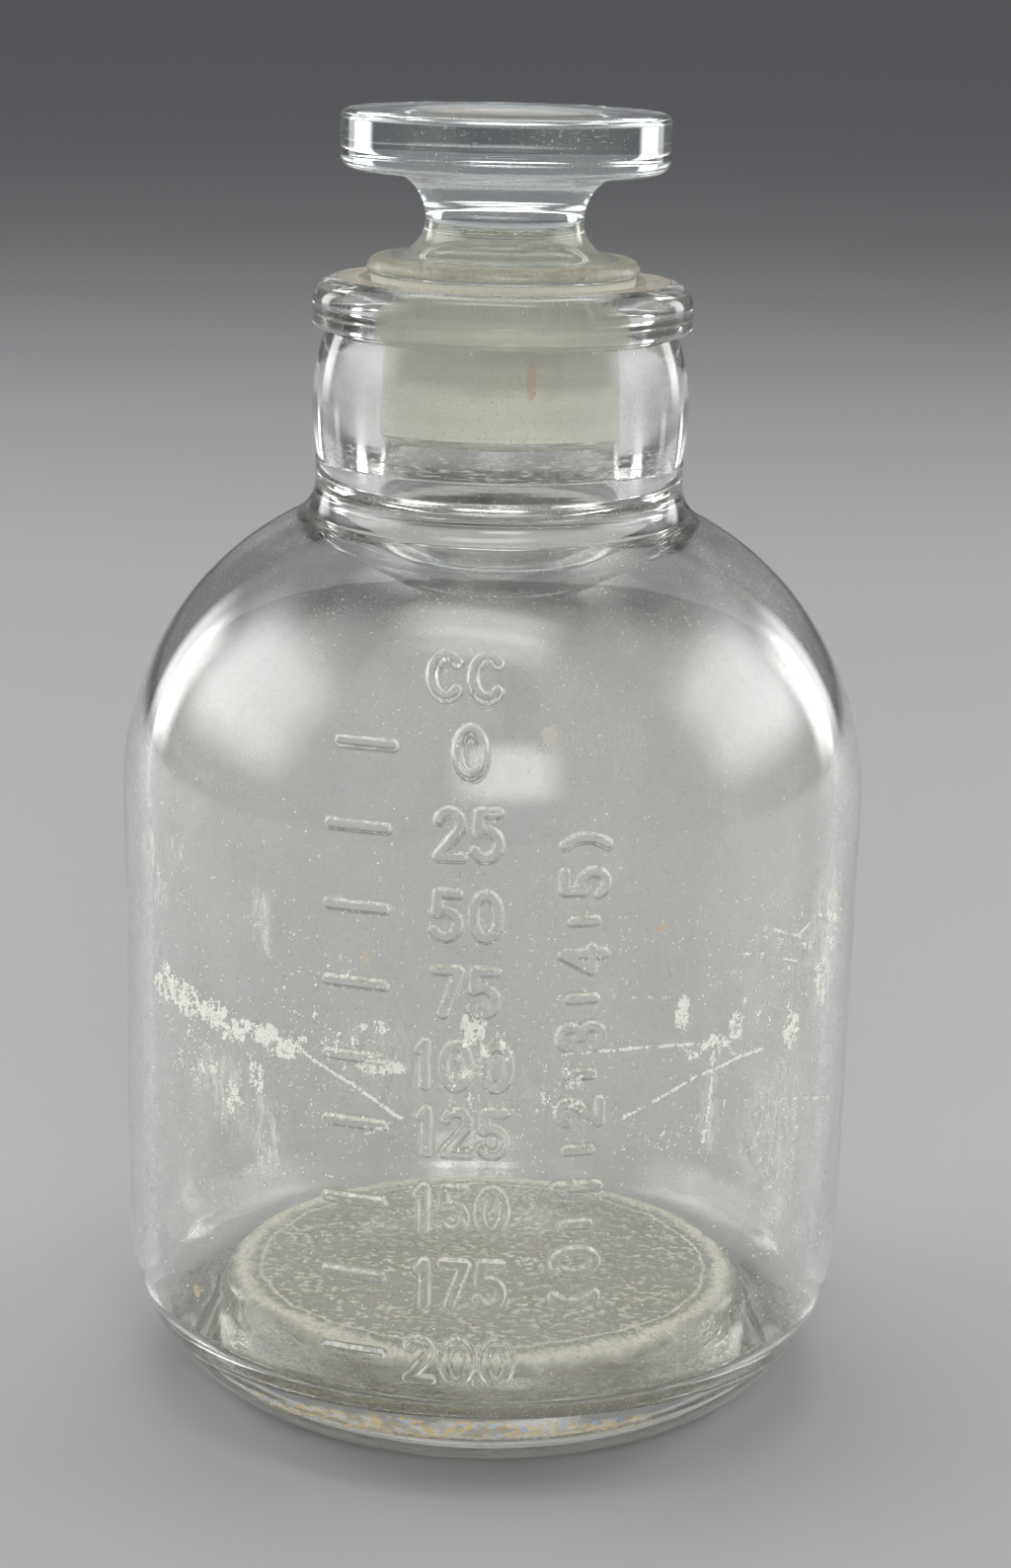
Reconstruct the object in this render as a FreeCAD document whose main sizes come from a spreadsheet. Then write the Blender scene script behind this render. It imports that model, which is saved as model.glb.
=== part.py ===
import FreeCAD, Part
import math
import os
import Sketcher

# Apothecary bottle of clear pressed glass, graduated from 0 to 200 on its front, with a ground
# neck and a flat-headed ground stopper. Millimetres, +Z up, origin at the centre of the base.
# The front of the bottle looks along -Y.

SHEET = "Sizes"

SIZES = [
    ("BodyDiameter", 72.0, "across the body where the wall meets the shoulder"),
    ("BodyBaseDiameter", 70.8, "across the body where the wall meets the heel"),
    ("HeelHeight", 16.2, "height at which the heel's curve starts"),
    ("HeelRadius", 18.0, "upper curve of the heel"),
    ("BearingCornerRadius", 5.0, "lower curve of the heel, down to the bearing ring"),
    ("BearingRingWidth", 1.0, "flat ring that the bottle stands on, inside the heel"),
    ("BaseRecessDepth", 2.5, "depth of the hollow under the base, inside that ring"),
    ("BaseRecessSlope", 1.5, "width of the hollow's sloping edge"),
    ("ShoulderHeight", 60.0, "height at which the wall turns into the shoulder"),
    ("ShoulderRadius", 29.8, "the shoulder's dome"),
    ("NeckRootDiameter", 35.3, "neck below the mould seam"),
    ("NeckRootFillet", 4.0, "hollow curve between the shoulder and the neck"),
    ("NeckRootLength", 2.2, "straight stretch from that curve up to the mould seam"),
    ("NeckSeamDiameter", 34.9, "barrel of the neck at the mould seam"),
    ("NeckTopDiameter", 33.3, "barrel of the neck just under the lip"),
    ("NeckBarrelLength", 12.3, "from the mould seam to the lip"),
    ("NeckBarrelRadius", 20.5, "swelling of the neck, seen from the side"),
    ("LipDiameter", 36.2, "across the lip"),
    ("LipThickness", 4.7, "height of the lip"),
    ("LipLowerRadius", 0.7, "lower edge of the lip"),
    ("LipUpperRadius", 2.2, "upper edge of the lip"),
    ("WallThickness", 2.6, "glass of the body wall"),
    ("FloorHeight", 7.3, "lowest part of the inner floor, a trough beside the wall"),
    ("FloorCornerRadius", 3.5, "section of that trough"),
    ("FloorRise", 3.5, "height of the pushed-up middle of the floor above the trough"),
    ("FloorRiseRadius", 1.5, "edge of that middle"),
    ("InnerShoulderRadius", 26.2, "inside of the dome, which leaves more glass near the neck"),
    ("BoreRootRadius", 5.0, "rounding where the dome opens into the neck's bore"),
    ("SeatDiameter", 25.2, "ground seat, measured level with the top of the lip"),
    ("SeatTaper", 7.0, "length over which the seat's diameter narrows by one"),
    ("SeatLength", 16.0, "ground length of the neck's bore"),
    ("MouthDiameter", 27.4, "bevelled mouth, at the top of the lip"),
    ("MouthBevelDepth", 0.9, "depth of that bevel"),
    ("SeatClearance", 0.05, "film between the ground plug and the ground seat, on the radius"),
    ("PlugLength", 14.5, "plug below the top of the lip"),
    ("PlugEndRadius", 0.8, "edge at the bottom of the plug"),
    ("CollarDiameter", 25.9, "collar above the plug"),
    ("CollarLift", 0.5, "underside of the collar above the lip"),
    ("CollarThickness", 1.6, "height of the collar"),
    ("CollarLowerRadius", 0.3, "lower edge of the collar"),
    ("CollarUpperRadius", 1.2, "upper edge of the collar"),
    ("StemDiameter", 15.0, "narrowest part of the stopper"),
    ("WaistLowerRadius", 3.5, "hollow curve from the collar to the stem"),
    ("WaistUpperRadius", 4.5, "hollow curve from the stem to the head"),
    ("HeadDiameter", 31.2, "flat head of the stopper"),
    ("HeadThickness", 5.6, "height of the head"),
    ("HeadLowerRadius", 1.4, "lower edge of the head"),
    ("HeadUpperRadius", 0.9, "upper edge of the head"),
    ("HeadRecessDiameter", 18.4, "shallow hollow in the top of the head"),
    ("HeadRecessDepth", 0.35, "depth of that hollow"),
    ("MarkBarRadius", 0.65, "half-round section of a graduation mark"),
    ("MarkSink", 0.15, "centre of that section below the glass surface"),
    ("MarkSpan", 9.6, "degrees that a mark runs round the bottle"),
    ("MarkTurn", 19.3, "degrees from the front to the middle of the marks, to the left"),
    ("HeightOfMark0", 71.1, "graduation marks, each cut at its own measured level"),
    ("HeightOfMark25", 64.0, "mark 25"),
    ("HeightOfMark50", 56.7, "mark 50"),
    ("HeightOfMark75", 49.6, "mark 75"),
    ("HeightOfMark100", 42.7, "mark 100"),
    ("HeightOfMark125", 36.4, "mark 125"),
    ("HeightOfMark150", 29.0, "mark 150"),
    ("HeightOfMark175", 21.8, "mark 175"),
    ("HeightOfMark200", 14.2, "mark 200"),
]

MARKS = [name for name, value, note in SIZES if name.startswith("HeightOfMark")]

# The cavity's cutting shape runs on past the lip by this much, so that the mouth is cut clean.
CUT_MARGIN = "1"


def size(name):
    """A size as it is written in an expression."""
    return SHEET + "." + name


def half(name):
    """Half of a diameter, as an expression."""
    return "(" + size(name) + " / 2)"


def total(*terms):
    """A sum of expressions."""
    return "(" + " + ".join(terms) + ")"


def less(first, *terms):
    """The first expression less the others."""
    return "(" + " - ".join((first,) + terms) + ")"


def tangent_rise(bend_sum, run):
    """Height between the centres of two touching arcs that lie this far apart sideways."""
    return "sqrt(" + bend_sum + "^2 - " + run + "^2)"


# The heel is two arcs. The lower one stands on the bearing ring and touches the upper one.
heel_centre = less(half("BodyBaseDiameter"), size("HeelRadius"))
heel_bend = less(size("HeelRadius"), size("BearingCornerRadius"))
heel_drop = less(size("HeelHeight"), size("BearingCornerRadius"))
heel_run = tangent_rise(heel_bend, heel_drop)
heel_share = "(" + size("HeelRadius") + " / " + heel_bend + ")"
bearing_radius = total(heel_centre, heel_run)
heel_joint_radius = total(heel_centre, heel_run + " * " + heel_share)
heel_joint_height = less(size("HeelHeight"), heel_drop + " * " + heel_share)

# The shoulder is one arc, and a hollow arc joins it to the root of the neck.
shoulder_centre = less(half("BodyDiameter"), size("ShoulderRadius"))
root_bend = total(size("ShoulderRadius"), size("NeckRootFillet"))
root_run = less(total(half("NeckRootDiameter"), size("NeckRootFillet")), shoulder_centre)
root_rise = tangent_rise(root_bend, root_run)
root_share = "(" + size("ShoulderRadius") + " / " + root_bend + ")"
root_joint_radius = total(shoulder_centre, root_run + " * " + root_share)
root_joint_height = total(size("ShoulderHeight"), root_rise + " * " + root_share)
root_top = total(size("ShoulderHeight"), root_rise)

# The heights of the neck follow one after another.
seam_height = total(root_top, size("NeckRootLength"))
lip_bottom = total(seam_height, size("NeckBarrelLength"))
lip_top = total(lip_bottom, size("LipThickness"))

# Inside, the dome is one arc, and a rounded edge joins it to the bore.
seat_bottom = less(lip_top, size("SeatLength"))
bore_radius = less(half("SeatDiameter"), "(" + size("SeatLength") + " / 2 / " + size("SeatTaper") + ")")
inner_top_radius = less(half("BodyDiameter"), size("WallThickness"))
inner_low_radius = less(half("BodyBaseDiameter"), size("WallThickness"))
dome_centre = less(inner_top_radius, size("InnerShoulderRadius"))
bore_bend = total(size("InnerShoulderRadius"), size("BoreRootRadius"))
bore_run = less(total(bore_radius, size("BoreRootRadius")), dome_centre)
bore_rise = tangent_rise(bore_bend, bore_run)
bore_share = "(" + size("InnerShoulderRadius") + " / " + bore_bend + ")"
bore_joint_radius = total(dome_centre, bore_run + " * " + bore_share)
bore_joint_height = total(size("ShoulderHeight"), bore_rise + " * " + bore_share)
bore_start = total(size("ShoulderHeight"), bore_rise)

# The inner floor is a trough beside the wall, whose section touches the rounded edge of the raised middle.
trough_top = total(size("FloorHeight"), size("FloorCornerRadius"))
rise_top = total(size("FloorHeight"), size("FloorRise"))
rise_bend = total(size("FloorCornerRadius"), size("FloorRiseRadius"))
rise_drop = total(less(size("FloorCornerRadius"), size("FloorRise")), size("FloorRiseRadius"))
rise_run = tangent_rise(rise_bend, rise_drop)
rise_share = "(" + size("FloorCornerRadius") + " / " + rise_bend + ")"

# The stopper's heights are taken from the lip that it sits in.
plug_end = less(lip_top, size("PlugLength"))
collar_bottom = total(lip_top, size("CollarLift"))
collar_top = total(collar_bottom, size("CollarThickness"))
waist_height = total(collar_top, size("WaistLowerRadius"))
head_bottom = total(waist_height, size("WaistUpperRadius"))
head_top = total(head_bottom, size("HeadThickness"))


def seat_radius_at(height, clearance="0"):
    """Radius of the ground taper at a height, less a clearance."""
    narrowing = "((" + lip_top + " - " + height + ") / 2 / " + size("SeatTaper") + ")"
    return less(half("SeatDiameter"), narrowing, clearance)


def wall_radius_at(height, wall_base, wall_top):
    """Radius of the body's straight, slightly conical wall at a height."""
    slope = "((" + wall_top + " - " + wall_base + ") / (" + size("ShoulderHeight") + " - " + size("HeelHeight") + "))"
    return total(wall_base, "(" + height + " - " + size("HeelHeight") + ") * " + slope)


def glass_radius_at(height):
    """Outer radius of the body at a height, on the heel, the wall or the shoulder."""
    on_heel = total(heel_centre, tangent_rise(size("HeelRadius"), less(size("HeelHeight"), height)))
    on_wall = wall_radius_at(height, half("BodyBaseDiameter"), half("BodyDiameter"))
    on_dome = total(shoulder_centre, tangent_rise(size("ShoulderRadius"), less(height, size("ShoulderHeight"))))
    below = height + " < " + size("HeelHeight")
    above = height + " > " + size("ShoulderHeight")
    return "(" + above + " ? " + on_dome + " : (" + below + " ? " + on_heel + " : " + on_wall + "))"


class Outline:
    """A closed half-section, drawn edge after edge in radius and height.

    Every corner's radius and height, and every arc's bend, is an expression on the sheet.
    """

    def __init__(self, sheet, radius, height):
        self.sheet = sheet
        self.corners = [(radius, height)]
        self.edges = []

    def line(self, radius, height):
        self.edges.append(None)
        self.corners.append((radius, height))
        return self

    def arc(self, radius, height, bend, turn=1):
        """An arc that turns left (1) or right (-1) on its way to the corner."""
        self.edges.append((bend, turn))
        self.corners.append((radius, height))
        return self

    def close(self):
        """A straight edge back to the first corner."""
        self.edges.append(None)
        return self

    def value(self, expression):
        return float(self.sheet.evalExpression(expression))

    def place(self, index):
        radius, height = self.corners[index % len(self.corners)]
        return FreeCAD.Vector(self.value(radius), self.value(height), 0)

    def draw_edge(self, sketch, index):
        """Adds one edge, and says which of its ends is its start and which its end."""
        start = self.place(index)
        end = self.place(index + 1)
        if self.edges[index] is None:
            return sketch.addGeometry(Part.LineSegment(start, end), False), 1, 2
        bend, turn = self.edges[index]
        radius = self.value(bend)
        chord = end - start
        left = FreeCAD.Vector(-chord.y, chord.x, 0).normalize()
        reach = math.sqrt(max(radius ** 2 - (chord.Length / 2) ** 2, 0))
        centre = (start + end) / 2 + left * reach * turn
        first, last = (start, end) if turn > 0 else (end, start)
        angle_first = math.atan2(first.y - centre.y, first.x - centre.x)
        angle_last = math.atan2(last.y - centre.y, last.x - centre.x)
        if angle_last < angle_first:
            angle_last += 2 * math.pi
        circle = Part.Circle(centre, FreeCAD.Vector(0, 0, 1), radius)
        arc = Part.ArcOfCircle(circle, angle_first, angle_last)
        ends = (1, 2) if turn > 0 else (2, 1)
        return sketch.addGeometry(arc, False), ends[0], ends[1]

    def fix(self, sketch, kind, expression, geometry, end, name):
        """Ties one coordinate of a corner to the sheet, or to the sketch's axis where it is 0."""
        if expression == "0":
            axis = -2 if kind == "DistanceX" else -1
            sketch.addConstraint(Sketcher.Constraint("PointOnObject", geometry, end, axis))
            return
        index = sketch.addConstraint(Sketcher.Constraint(kind, -1, 1, geometry, end, self.value(expression)))
        sketch.renameConstraint(index, name)
        sketch.setExpression("Constraints." + name, expression)

    def draw(self, sketch):
        """Puts the whole section into a sketch, fully constrained."""
        drawn = [self.draw_edge(sketch, index) for index in range(len(self.edges))]
        for index, (geometry, start, end) in enumerate(drawn):
            following = drawn[(index + 1) % len(drawn)]
            sketch.addConstraint(Sketcher.Constraint("Coincident", geometry, end, following[0], following[1]))
        for index, (geometry, start, end) in enumerate(drawn):
            radius, height = self.corners[index]
            self.fix(sketch, "DistanceX", radius, geometry, start, "Radius%d" % index)
            self.fix(sketch, "DistanceY", height, geometry, start, "Height%d" % index)
            if self.edges[index] is not None:
                bend = self.edges[index][0]
                place = sketch.addConstraint(Sketcher.Constraint("Radius", geometry, self.value(bend)))
                sketch.renameConstraint(place, "Bend%d" % index)
                sketch.setExpression("Constraints.Bend%d" % index, bend)


def make_sheet(doc):
    """The spreadsheet with every driving size, its alias and a note."""
    sheet = doc.addObject("Spreadsheet::Sheet", SHEET)
    for row, (name, value, note) in enumerate(SIZES, start=1):
        sheet.set("A%d" % row, name)
        sheet.set("B%d" % row, str(value))
        sheet.set("C%d" % row, note)
        sheet.setAlias("B%d" % row, name)
    doc.recompute()
    return sheet


def make_body(doc, name):
    body = doc.addObject("PartDesign::Body", name)
    body.Label = name
    return body


def make_sketch(body, name, turn="0"):
    """A sketch on the body's upright plane, turned about the upright axis by an angle."""
    sketch = body.newObject("Sketcher::SketchObject", name)
    plane = [item for item in body.Origin.OriginFeatures if item.Role == "XZ_Plane"][0]
    sketch.AttachmentSupport = [(plane, "")]
    sketch.MapMode = "FlatFace"
    if turn != "0":
        upright = FreeCAD.Rotation(FreeCAD.Vector(0, 1, 0), 1)
        sketch.AttachmentOffset = FreeCAD.Placement(FreeCAD.Vector(0, 0, 0), upright)
        sketch.setExpression("AttachmentOffset.Rotation.Angle", turn)
    return sketch


def revolve(body, kind, name, sketch):
    """A full turn of a sketch about the upright axis, added or cut away."""
    feature = body.newObject("PartDesign::" + kind, name)
    feature.Profile = sketch
    feature.ReferenceAxis = (sketch, ["V_Axis"])
    feature.Angle = 360
    sketch.Visibility = False
    return feature


def outer_form(sheet):
    """Outside of the bottle, from the hollow under the base up to the lip."""
    ring_inside = less(bearing_radius, size("BearingRingWidth"))
    lip_radius = half("LipDiameter")
    outline = Outline(sheet, "0", size("BaseRecessDepth"))
    outline.line(less(ring_inside, size("BaseRecessSlope")), size("BaseRecessDepth"))
    outline.line(ring_inside, "0")
    outline.line(bearing_radius, "0")
    outline.arc(heel_joint_radius, heel_joint_height, size("BearingCornerRadius"))
    outline.arc(half("BodyBaseDiameter"), size("HeelHeight"), size("HeelRadius"))
    outline.line(half("BodyDiameter"), size("ShoulderHeight"))
    outline.arc(root_joint_radius, root_joint_height, size("ShoulderRadius"))
    outline.arc(half("NeckRootDiameter"), root_top, size("NeckRootFillet"), -1)
    outline.line(half("NeckRootDiameter"), seam_height)
    outline.line(half("NeckSeamDiameter"), seam_height)
    outline.arc(half("NeckTopDiameter"), lip_bottom, size("NeckBarrelRadius"))
    outline.line(less(lip_radius, size("LipLowerRadius")), lip_bottom)
    outline.arc(lip_radius, total(lip_bottom, size("LipLowerRadius")), size("LipLowerRadius"))
    outline.line(lip_radius, less(lip_top, size("LipUpperRadius")))
    outline.arc(less(lip_radius, size("LipUpperRadius")), lip_top, size("LipUpperRadius"))
    outline.line("0", lip_top)
    return outline.close()


def cavity(sheet):
    """Inside of the bottle: raised floor, trough, wall, dome, bore, ground seat and bevelled mouth."""
    trough_outside = wall_radius_at(trough_top, inner_low_radius, inner_top_radius)
    trough_centre = less(trough_outside, size("FloorCornerRadius"))
    rise_edge = less(trough_centre, rise_run)
    rise_joint_radius = less(trough_centre, rise_run + " * " + rise_share)
    rise_joint_height = less(trough_top, rise_drop + " * " + rise_share)
    bevel_bottom = less(lip_top, size("MouthBevelDepth"))
    past_lip = total(lip_top, CUT_MARGIN)
    outline = Outline(sheet, "0", rise_top)
    outline.line(rise_edge, rise_top)
    outline.arc(rise_joint_radius, rise_joint_height, size("FloorRiseRadius"), -1)
    outline.arc(trough_outside, trough_top, size("FloorCornerRadius"))
    outline.line(inner_top_radius, size("ShoulderHeight"))
    outline.arc(bore_joint_radius, bore_joint_height, size("InnerShoulderRadius"))
    outline.arc(bore_radius, bore_start, size("BoreRootRadius"), -1)
    outline.line(bore_radius, seat_bottom)
    outline.line(seat_radius_at(bevel_bottom), bevel_bottom)
    outline.line(half("MouthDiameter"), lip_top)
    outline.line(half("MouthDiameter"), past_lip)
    outline.line("0", past_lip)
    return outline.close()


def stopper_form(sheet):
    """Half-section of the stopper, from the end of its plug up to the top of its head."""
    plug_corner = total(plug_end, size("PlugEndRadius"))
    plug_radius = seat_radius_at(plug_corner, size("SeatClearance"))
    collar_radius = half("CollarDiameter")
    head_radius = half("HeadDiameter")
    recess = half("HeadRecessDiameter")
    recess_floor = less(head_top, size("HeadRecessDepth"))
    outline = Outline(sheet, "0", plug_end)
    outline.line(less(plug_radius, size("PlugEndRadius")), plug_end)
    outline.arc(plug_radius, plug_corner, size("PlugEndRadius"))
    outline.line(seat_radius_at(collar_bottom, size("SeatClearance")), collar_bottom)
    outline.line(less(collar_radius, size("CollarLowerRadius")), collar_bottom)
    outline.arc(collar_radius, total(collar_bottom, size("CollarLowerRadius")), size("CollarLowerRadius"))
    outline.line(collar_radius, less(collar_top, size("CollarUpperRadius")))
    outline.arc(less(collar_radius, size("CollarUpperRadius")), collar_top, size("CollarUpperRadius"))
    outline.line(total(half("StemDiameter"), size("WaistLowerRadius")), collar_top)
    outline.arc(half("StemDiameter"), waist_height, size("WaistLowerRadius"), -1)
    outline.arc(total(half("StemDiameter"), size("WaistUpperRadius")), head_bottom, size("WaistUpperRadius"), -1)
    outline.line(less(head_radius, size("HeadLowerRadius")), head_bottom)
    outline.arc(head_radius, total(head_bottom, size("HeadLowerRadius")), size("HeadLowerRadius"))
    outline.line(head_radius, less(head_top, size("HeadUpperRadius")))
    outline.arc(less(head_radius, size("HeadUpperRadius")), head_top, size("HeadUpperRadius"))
    outline.line(recess, head_top)
    outline.line(less(recess, size("HeadRecessDepth")), recess_floor)
    outline.line("0", recess_floor)
    return outline.close()


def make_marks(body, sheet):
    """The nine raised graduation bars, half-round, which run round the front of the body."""
    sketch = make_sketch(body, "MarkSections", "-90 - " + size("MarkTurn"))
    for index, name in enumerate(MARKS):
        height = size(name)
        radius = less(glass_radius_at(height), size("MarkSink"))
        centre = FreeCAD.Vector(float(sheet.evalExpression(radius)), float(sheet.evalExpression(height)), 0)
        bar = float(sheet.evalExpression(size("MarkBarRadius")))
        geometry = sketch.addGeometry(Part.Circle(centre, FreeCAD.Vector(0, 0, 1), bar), False)
        for kind, expression, label in (("DistanceX", radius, "Radius"), ("DistanceY", height, "Height")):
            value = float(sheet.evalExpression(expression))
            place = sketch.addConstraint(Sketcher.Constraint(kind, -1, 1, geometry, 3, value))
            sketch.renameConstraint(place, label + "%d" % index)
            sketch.setExpression("Constraints." + label + "%d" % index, expression)
        place = sketch.addConstraint(Sketcher.Constraint("Radius", geometry, bar))
        sketch.renameConstraint(place, "Bar%d" % index)
        sketch.setExpression("Constraints.Bar%d" % index, size("MarkBarRadius"))
    marks = revolve(body, "Revolution", "GraduationMarks", sketch)
    marks.Midplane = True
    marks.setExpression("Angle", size("MarkSpan"))
    return marks


def make_bottle(doc, sheet):
    """The bottle: outer form, cavity cut out of it, graduation marks raised on it."""
    body = make_body(doc, "bottle")
    sketch = make_sketch(body, "BottleOutside")
    outer_form(sheet).draw(sketch)
    revolve(body, "Revolution", "OuterForm", sketch)
    doc.recompute()
    full = body.Shape.Volume
    sketch = make_sketch(body, "BottleInside")
    cavity(sheet).draw(sketch)
    revolve(body, "Groove", "Cavity", sketch)
    doc.recompute()
    hollow = body.Shape.Volume
    make_marks(body, sheet)
    doc.recompute()
    marked = body.Shape.Volume
    if not hollow < full or not marked > hollow:
        raise RuntimeError("the cavity or the marks changed nothing")
    print("glass of the bottle, cubic mm:", round(marked), "cut away:", round(full - hollow))
    return body


def make_stopper(doc, sheet):
    """The stopper: one turned form with ground plug, collar, waisted stem and flat head."""
    body = make_body(doc, "stopper")
    sketch = make_sketch(body, "StopperSection")
    stopper_form(sheet).draw(sketch)
    revolve(body, "Revolution", "StopperForm", sketch)
    doc.recompute()
    return body


def check(doc, bodies):
    """Stops if any object of the document failed, or any piece isn't one sound solid."""
    for item in doc.Objects:
        if "Invalid" in item.State or "Error" in item.State:
            raise RuntimeError("failed object: " + item.Name)
    for body in bodies:
        shape = body.Shape
        if shape.isNull() or not shape.isValid() or len(shape.Solids) != 1:
            raise RuntimeError("unsound shape: " + body.Label)


def export(bodies):
    """Writes each piece's shape to its own file, named after it."""
    os.makedirs("parts", exist_ok=True)
    for body in bodies:
        body.Shape.exportStep("parts/" + body.Label + ".step")
        box = body.Shape.BoundBox
        print(body.Label, "from", round(box.ZMin, 2), "to", round(box.ZMax, 2), "wide", round(box.XLength, 2))


doc = FreeCAD.newDocument("ApothecaryBottle")
sizes = make_sheet(doc)
pieces = [make_bottle(doc, sizes), make_stopper(doc, sizes)]
check(doc, pieces)
export(pieces)
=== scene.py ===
"""Looks of a graduated apothecary bottle with a ground glass stopper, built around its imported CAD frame."""

import logging
import math
from collections.abc import Callable, Sequence
from dataclasses import dataclass, field
from enum import Enum
from functools import partial, reduce
from typing import ClassVar

import bpy
import numpy as np
from mathutils import Matrix, Vector, noise


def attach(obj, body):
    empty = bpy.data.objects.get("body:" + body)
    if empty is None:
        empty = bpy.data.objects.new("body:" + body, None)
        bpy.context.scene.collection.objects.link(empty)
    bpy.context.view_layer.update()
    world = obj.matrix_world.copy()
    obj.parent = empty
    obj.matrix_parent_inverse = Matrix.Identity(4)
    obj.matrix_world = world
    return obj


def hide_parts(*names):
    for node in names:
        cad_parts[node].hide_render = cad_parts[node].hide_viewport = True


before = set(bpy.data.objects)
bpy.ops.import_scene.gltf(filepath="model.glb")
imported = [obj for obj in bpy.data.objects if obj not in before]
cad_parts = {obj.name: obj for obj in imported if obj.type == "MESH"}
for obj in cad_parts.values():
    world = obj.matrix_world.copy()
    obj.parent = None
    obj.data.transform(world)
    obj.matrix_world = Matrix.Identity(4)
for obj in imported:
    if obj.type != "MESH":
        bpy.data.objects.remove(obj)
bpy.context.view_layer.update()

log = logging.getLogger("bottle")

MM = 0.001
FULL_TURN = 2 * math.pi
GLASS_INDEX = 1.5
NEAR_ZERO = 1e-6
# How many points are held against every target at once.
AT_ONCE = 4000

Point = tuple[float, float]
Place = tuple[float, float, float]
Colour = tuple[float, float, float]
Piece = bpy.types.Object
Socket = bpy.types.NodeSocket

# Scales of a noise along the axes: even, longer downwards, and drawn out into rings round the bottle.
EVEN = (1.0, 1.0, 1.0)
DROOPING = (1.0, 1.0, 0.6)
TURNED = (0.04, 0.04, 1.0)


class Zone(Enum):
    """Finishes along a turned section. A zone's number is its material slot on the piece."""

    CLEAR = 0
    GROUND = 1
    DUSTY = 2
    STIPPLED = 3
    FLOOR = 4


class Turn(Enum):
    """Which way an arc of a section bends on its way to its end."""

    STRAIGHT = 0
    LEFT = 1
    RIGHT = -1


@dataclass(frozen=True)
class Stretch:
    """One line or arc of a section, up to a corner.

    Attributes:
        radius: Radius of the corner, in millimetres.
        height: Height of the corner, in millimetres.
        turn: Straight, or the way the arc bends.
        bend: Radius of the arc.
        step: Largest distance between the rows of points.
        soft: Rounding of the corner at the end.
        zone: Finish of the surface.
    """

    radius: float
    height: float
    turn: Turn = Turn.STRAIGHT
    bend: float = 0.0
    step: float = 1.2
    soft: float = 0.0
    zone: Zone = Zone.CLEAR


def line(radius: float, height: float, step: float = 1.2, soft: float = 0.0,
         zone: Zone = Zone.CLEAR) -> Stretch:
    """A straight stretch up to a corner."""
    return Stretch(radius, height, step=step, soft=soft, zone=zone)


def arc(radius: float, height: float, turn: Turn, bend: float, step: float, soft: float = 0.0,
        zone: Zone = Zone.CLEAR) -> Stretch:
    """A round stretch up to a corner."""
    return Stretch(radius, height, turn, bend, step, soft, zone)


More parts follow.
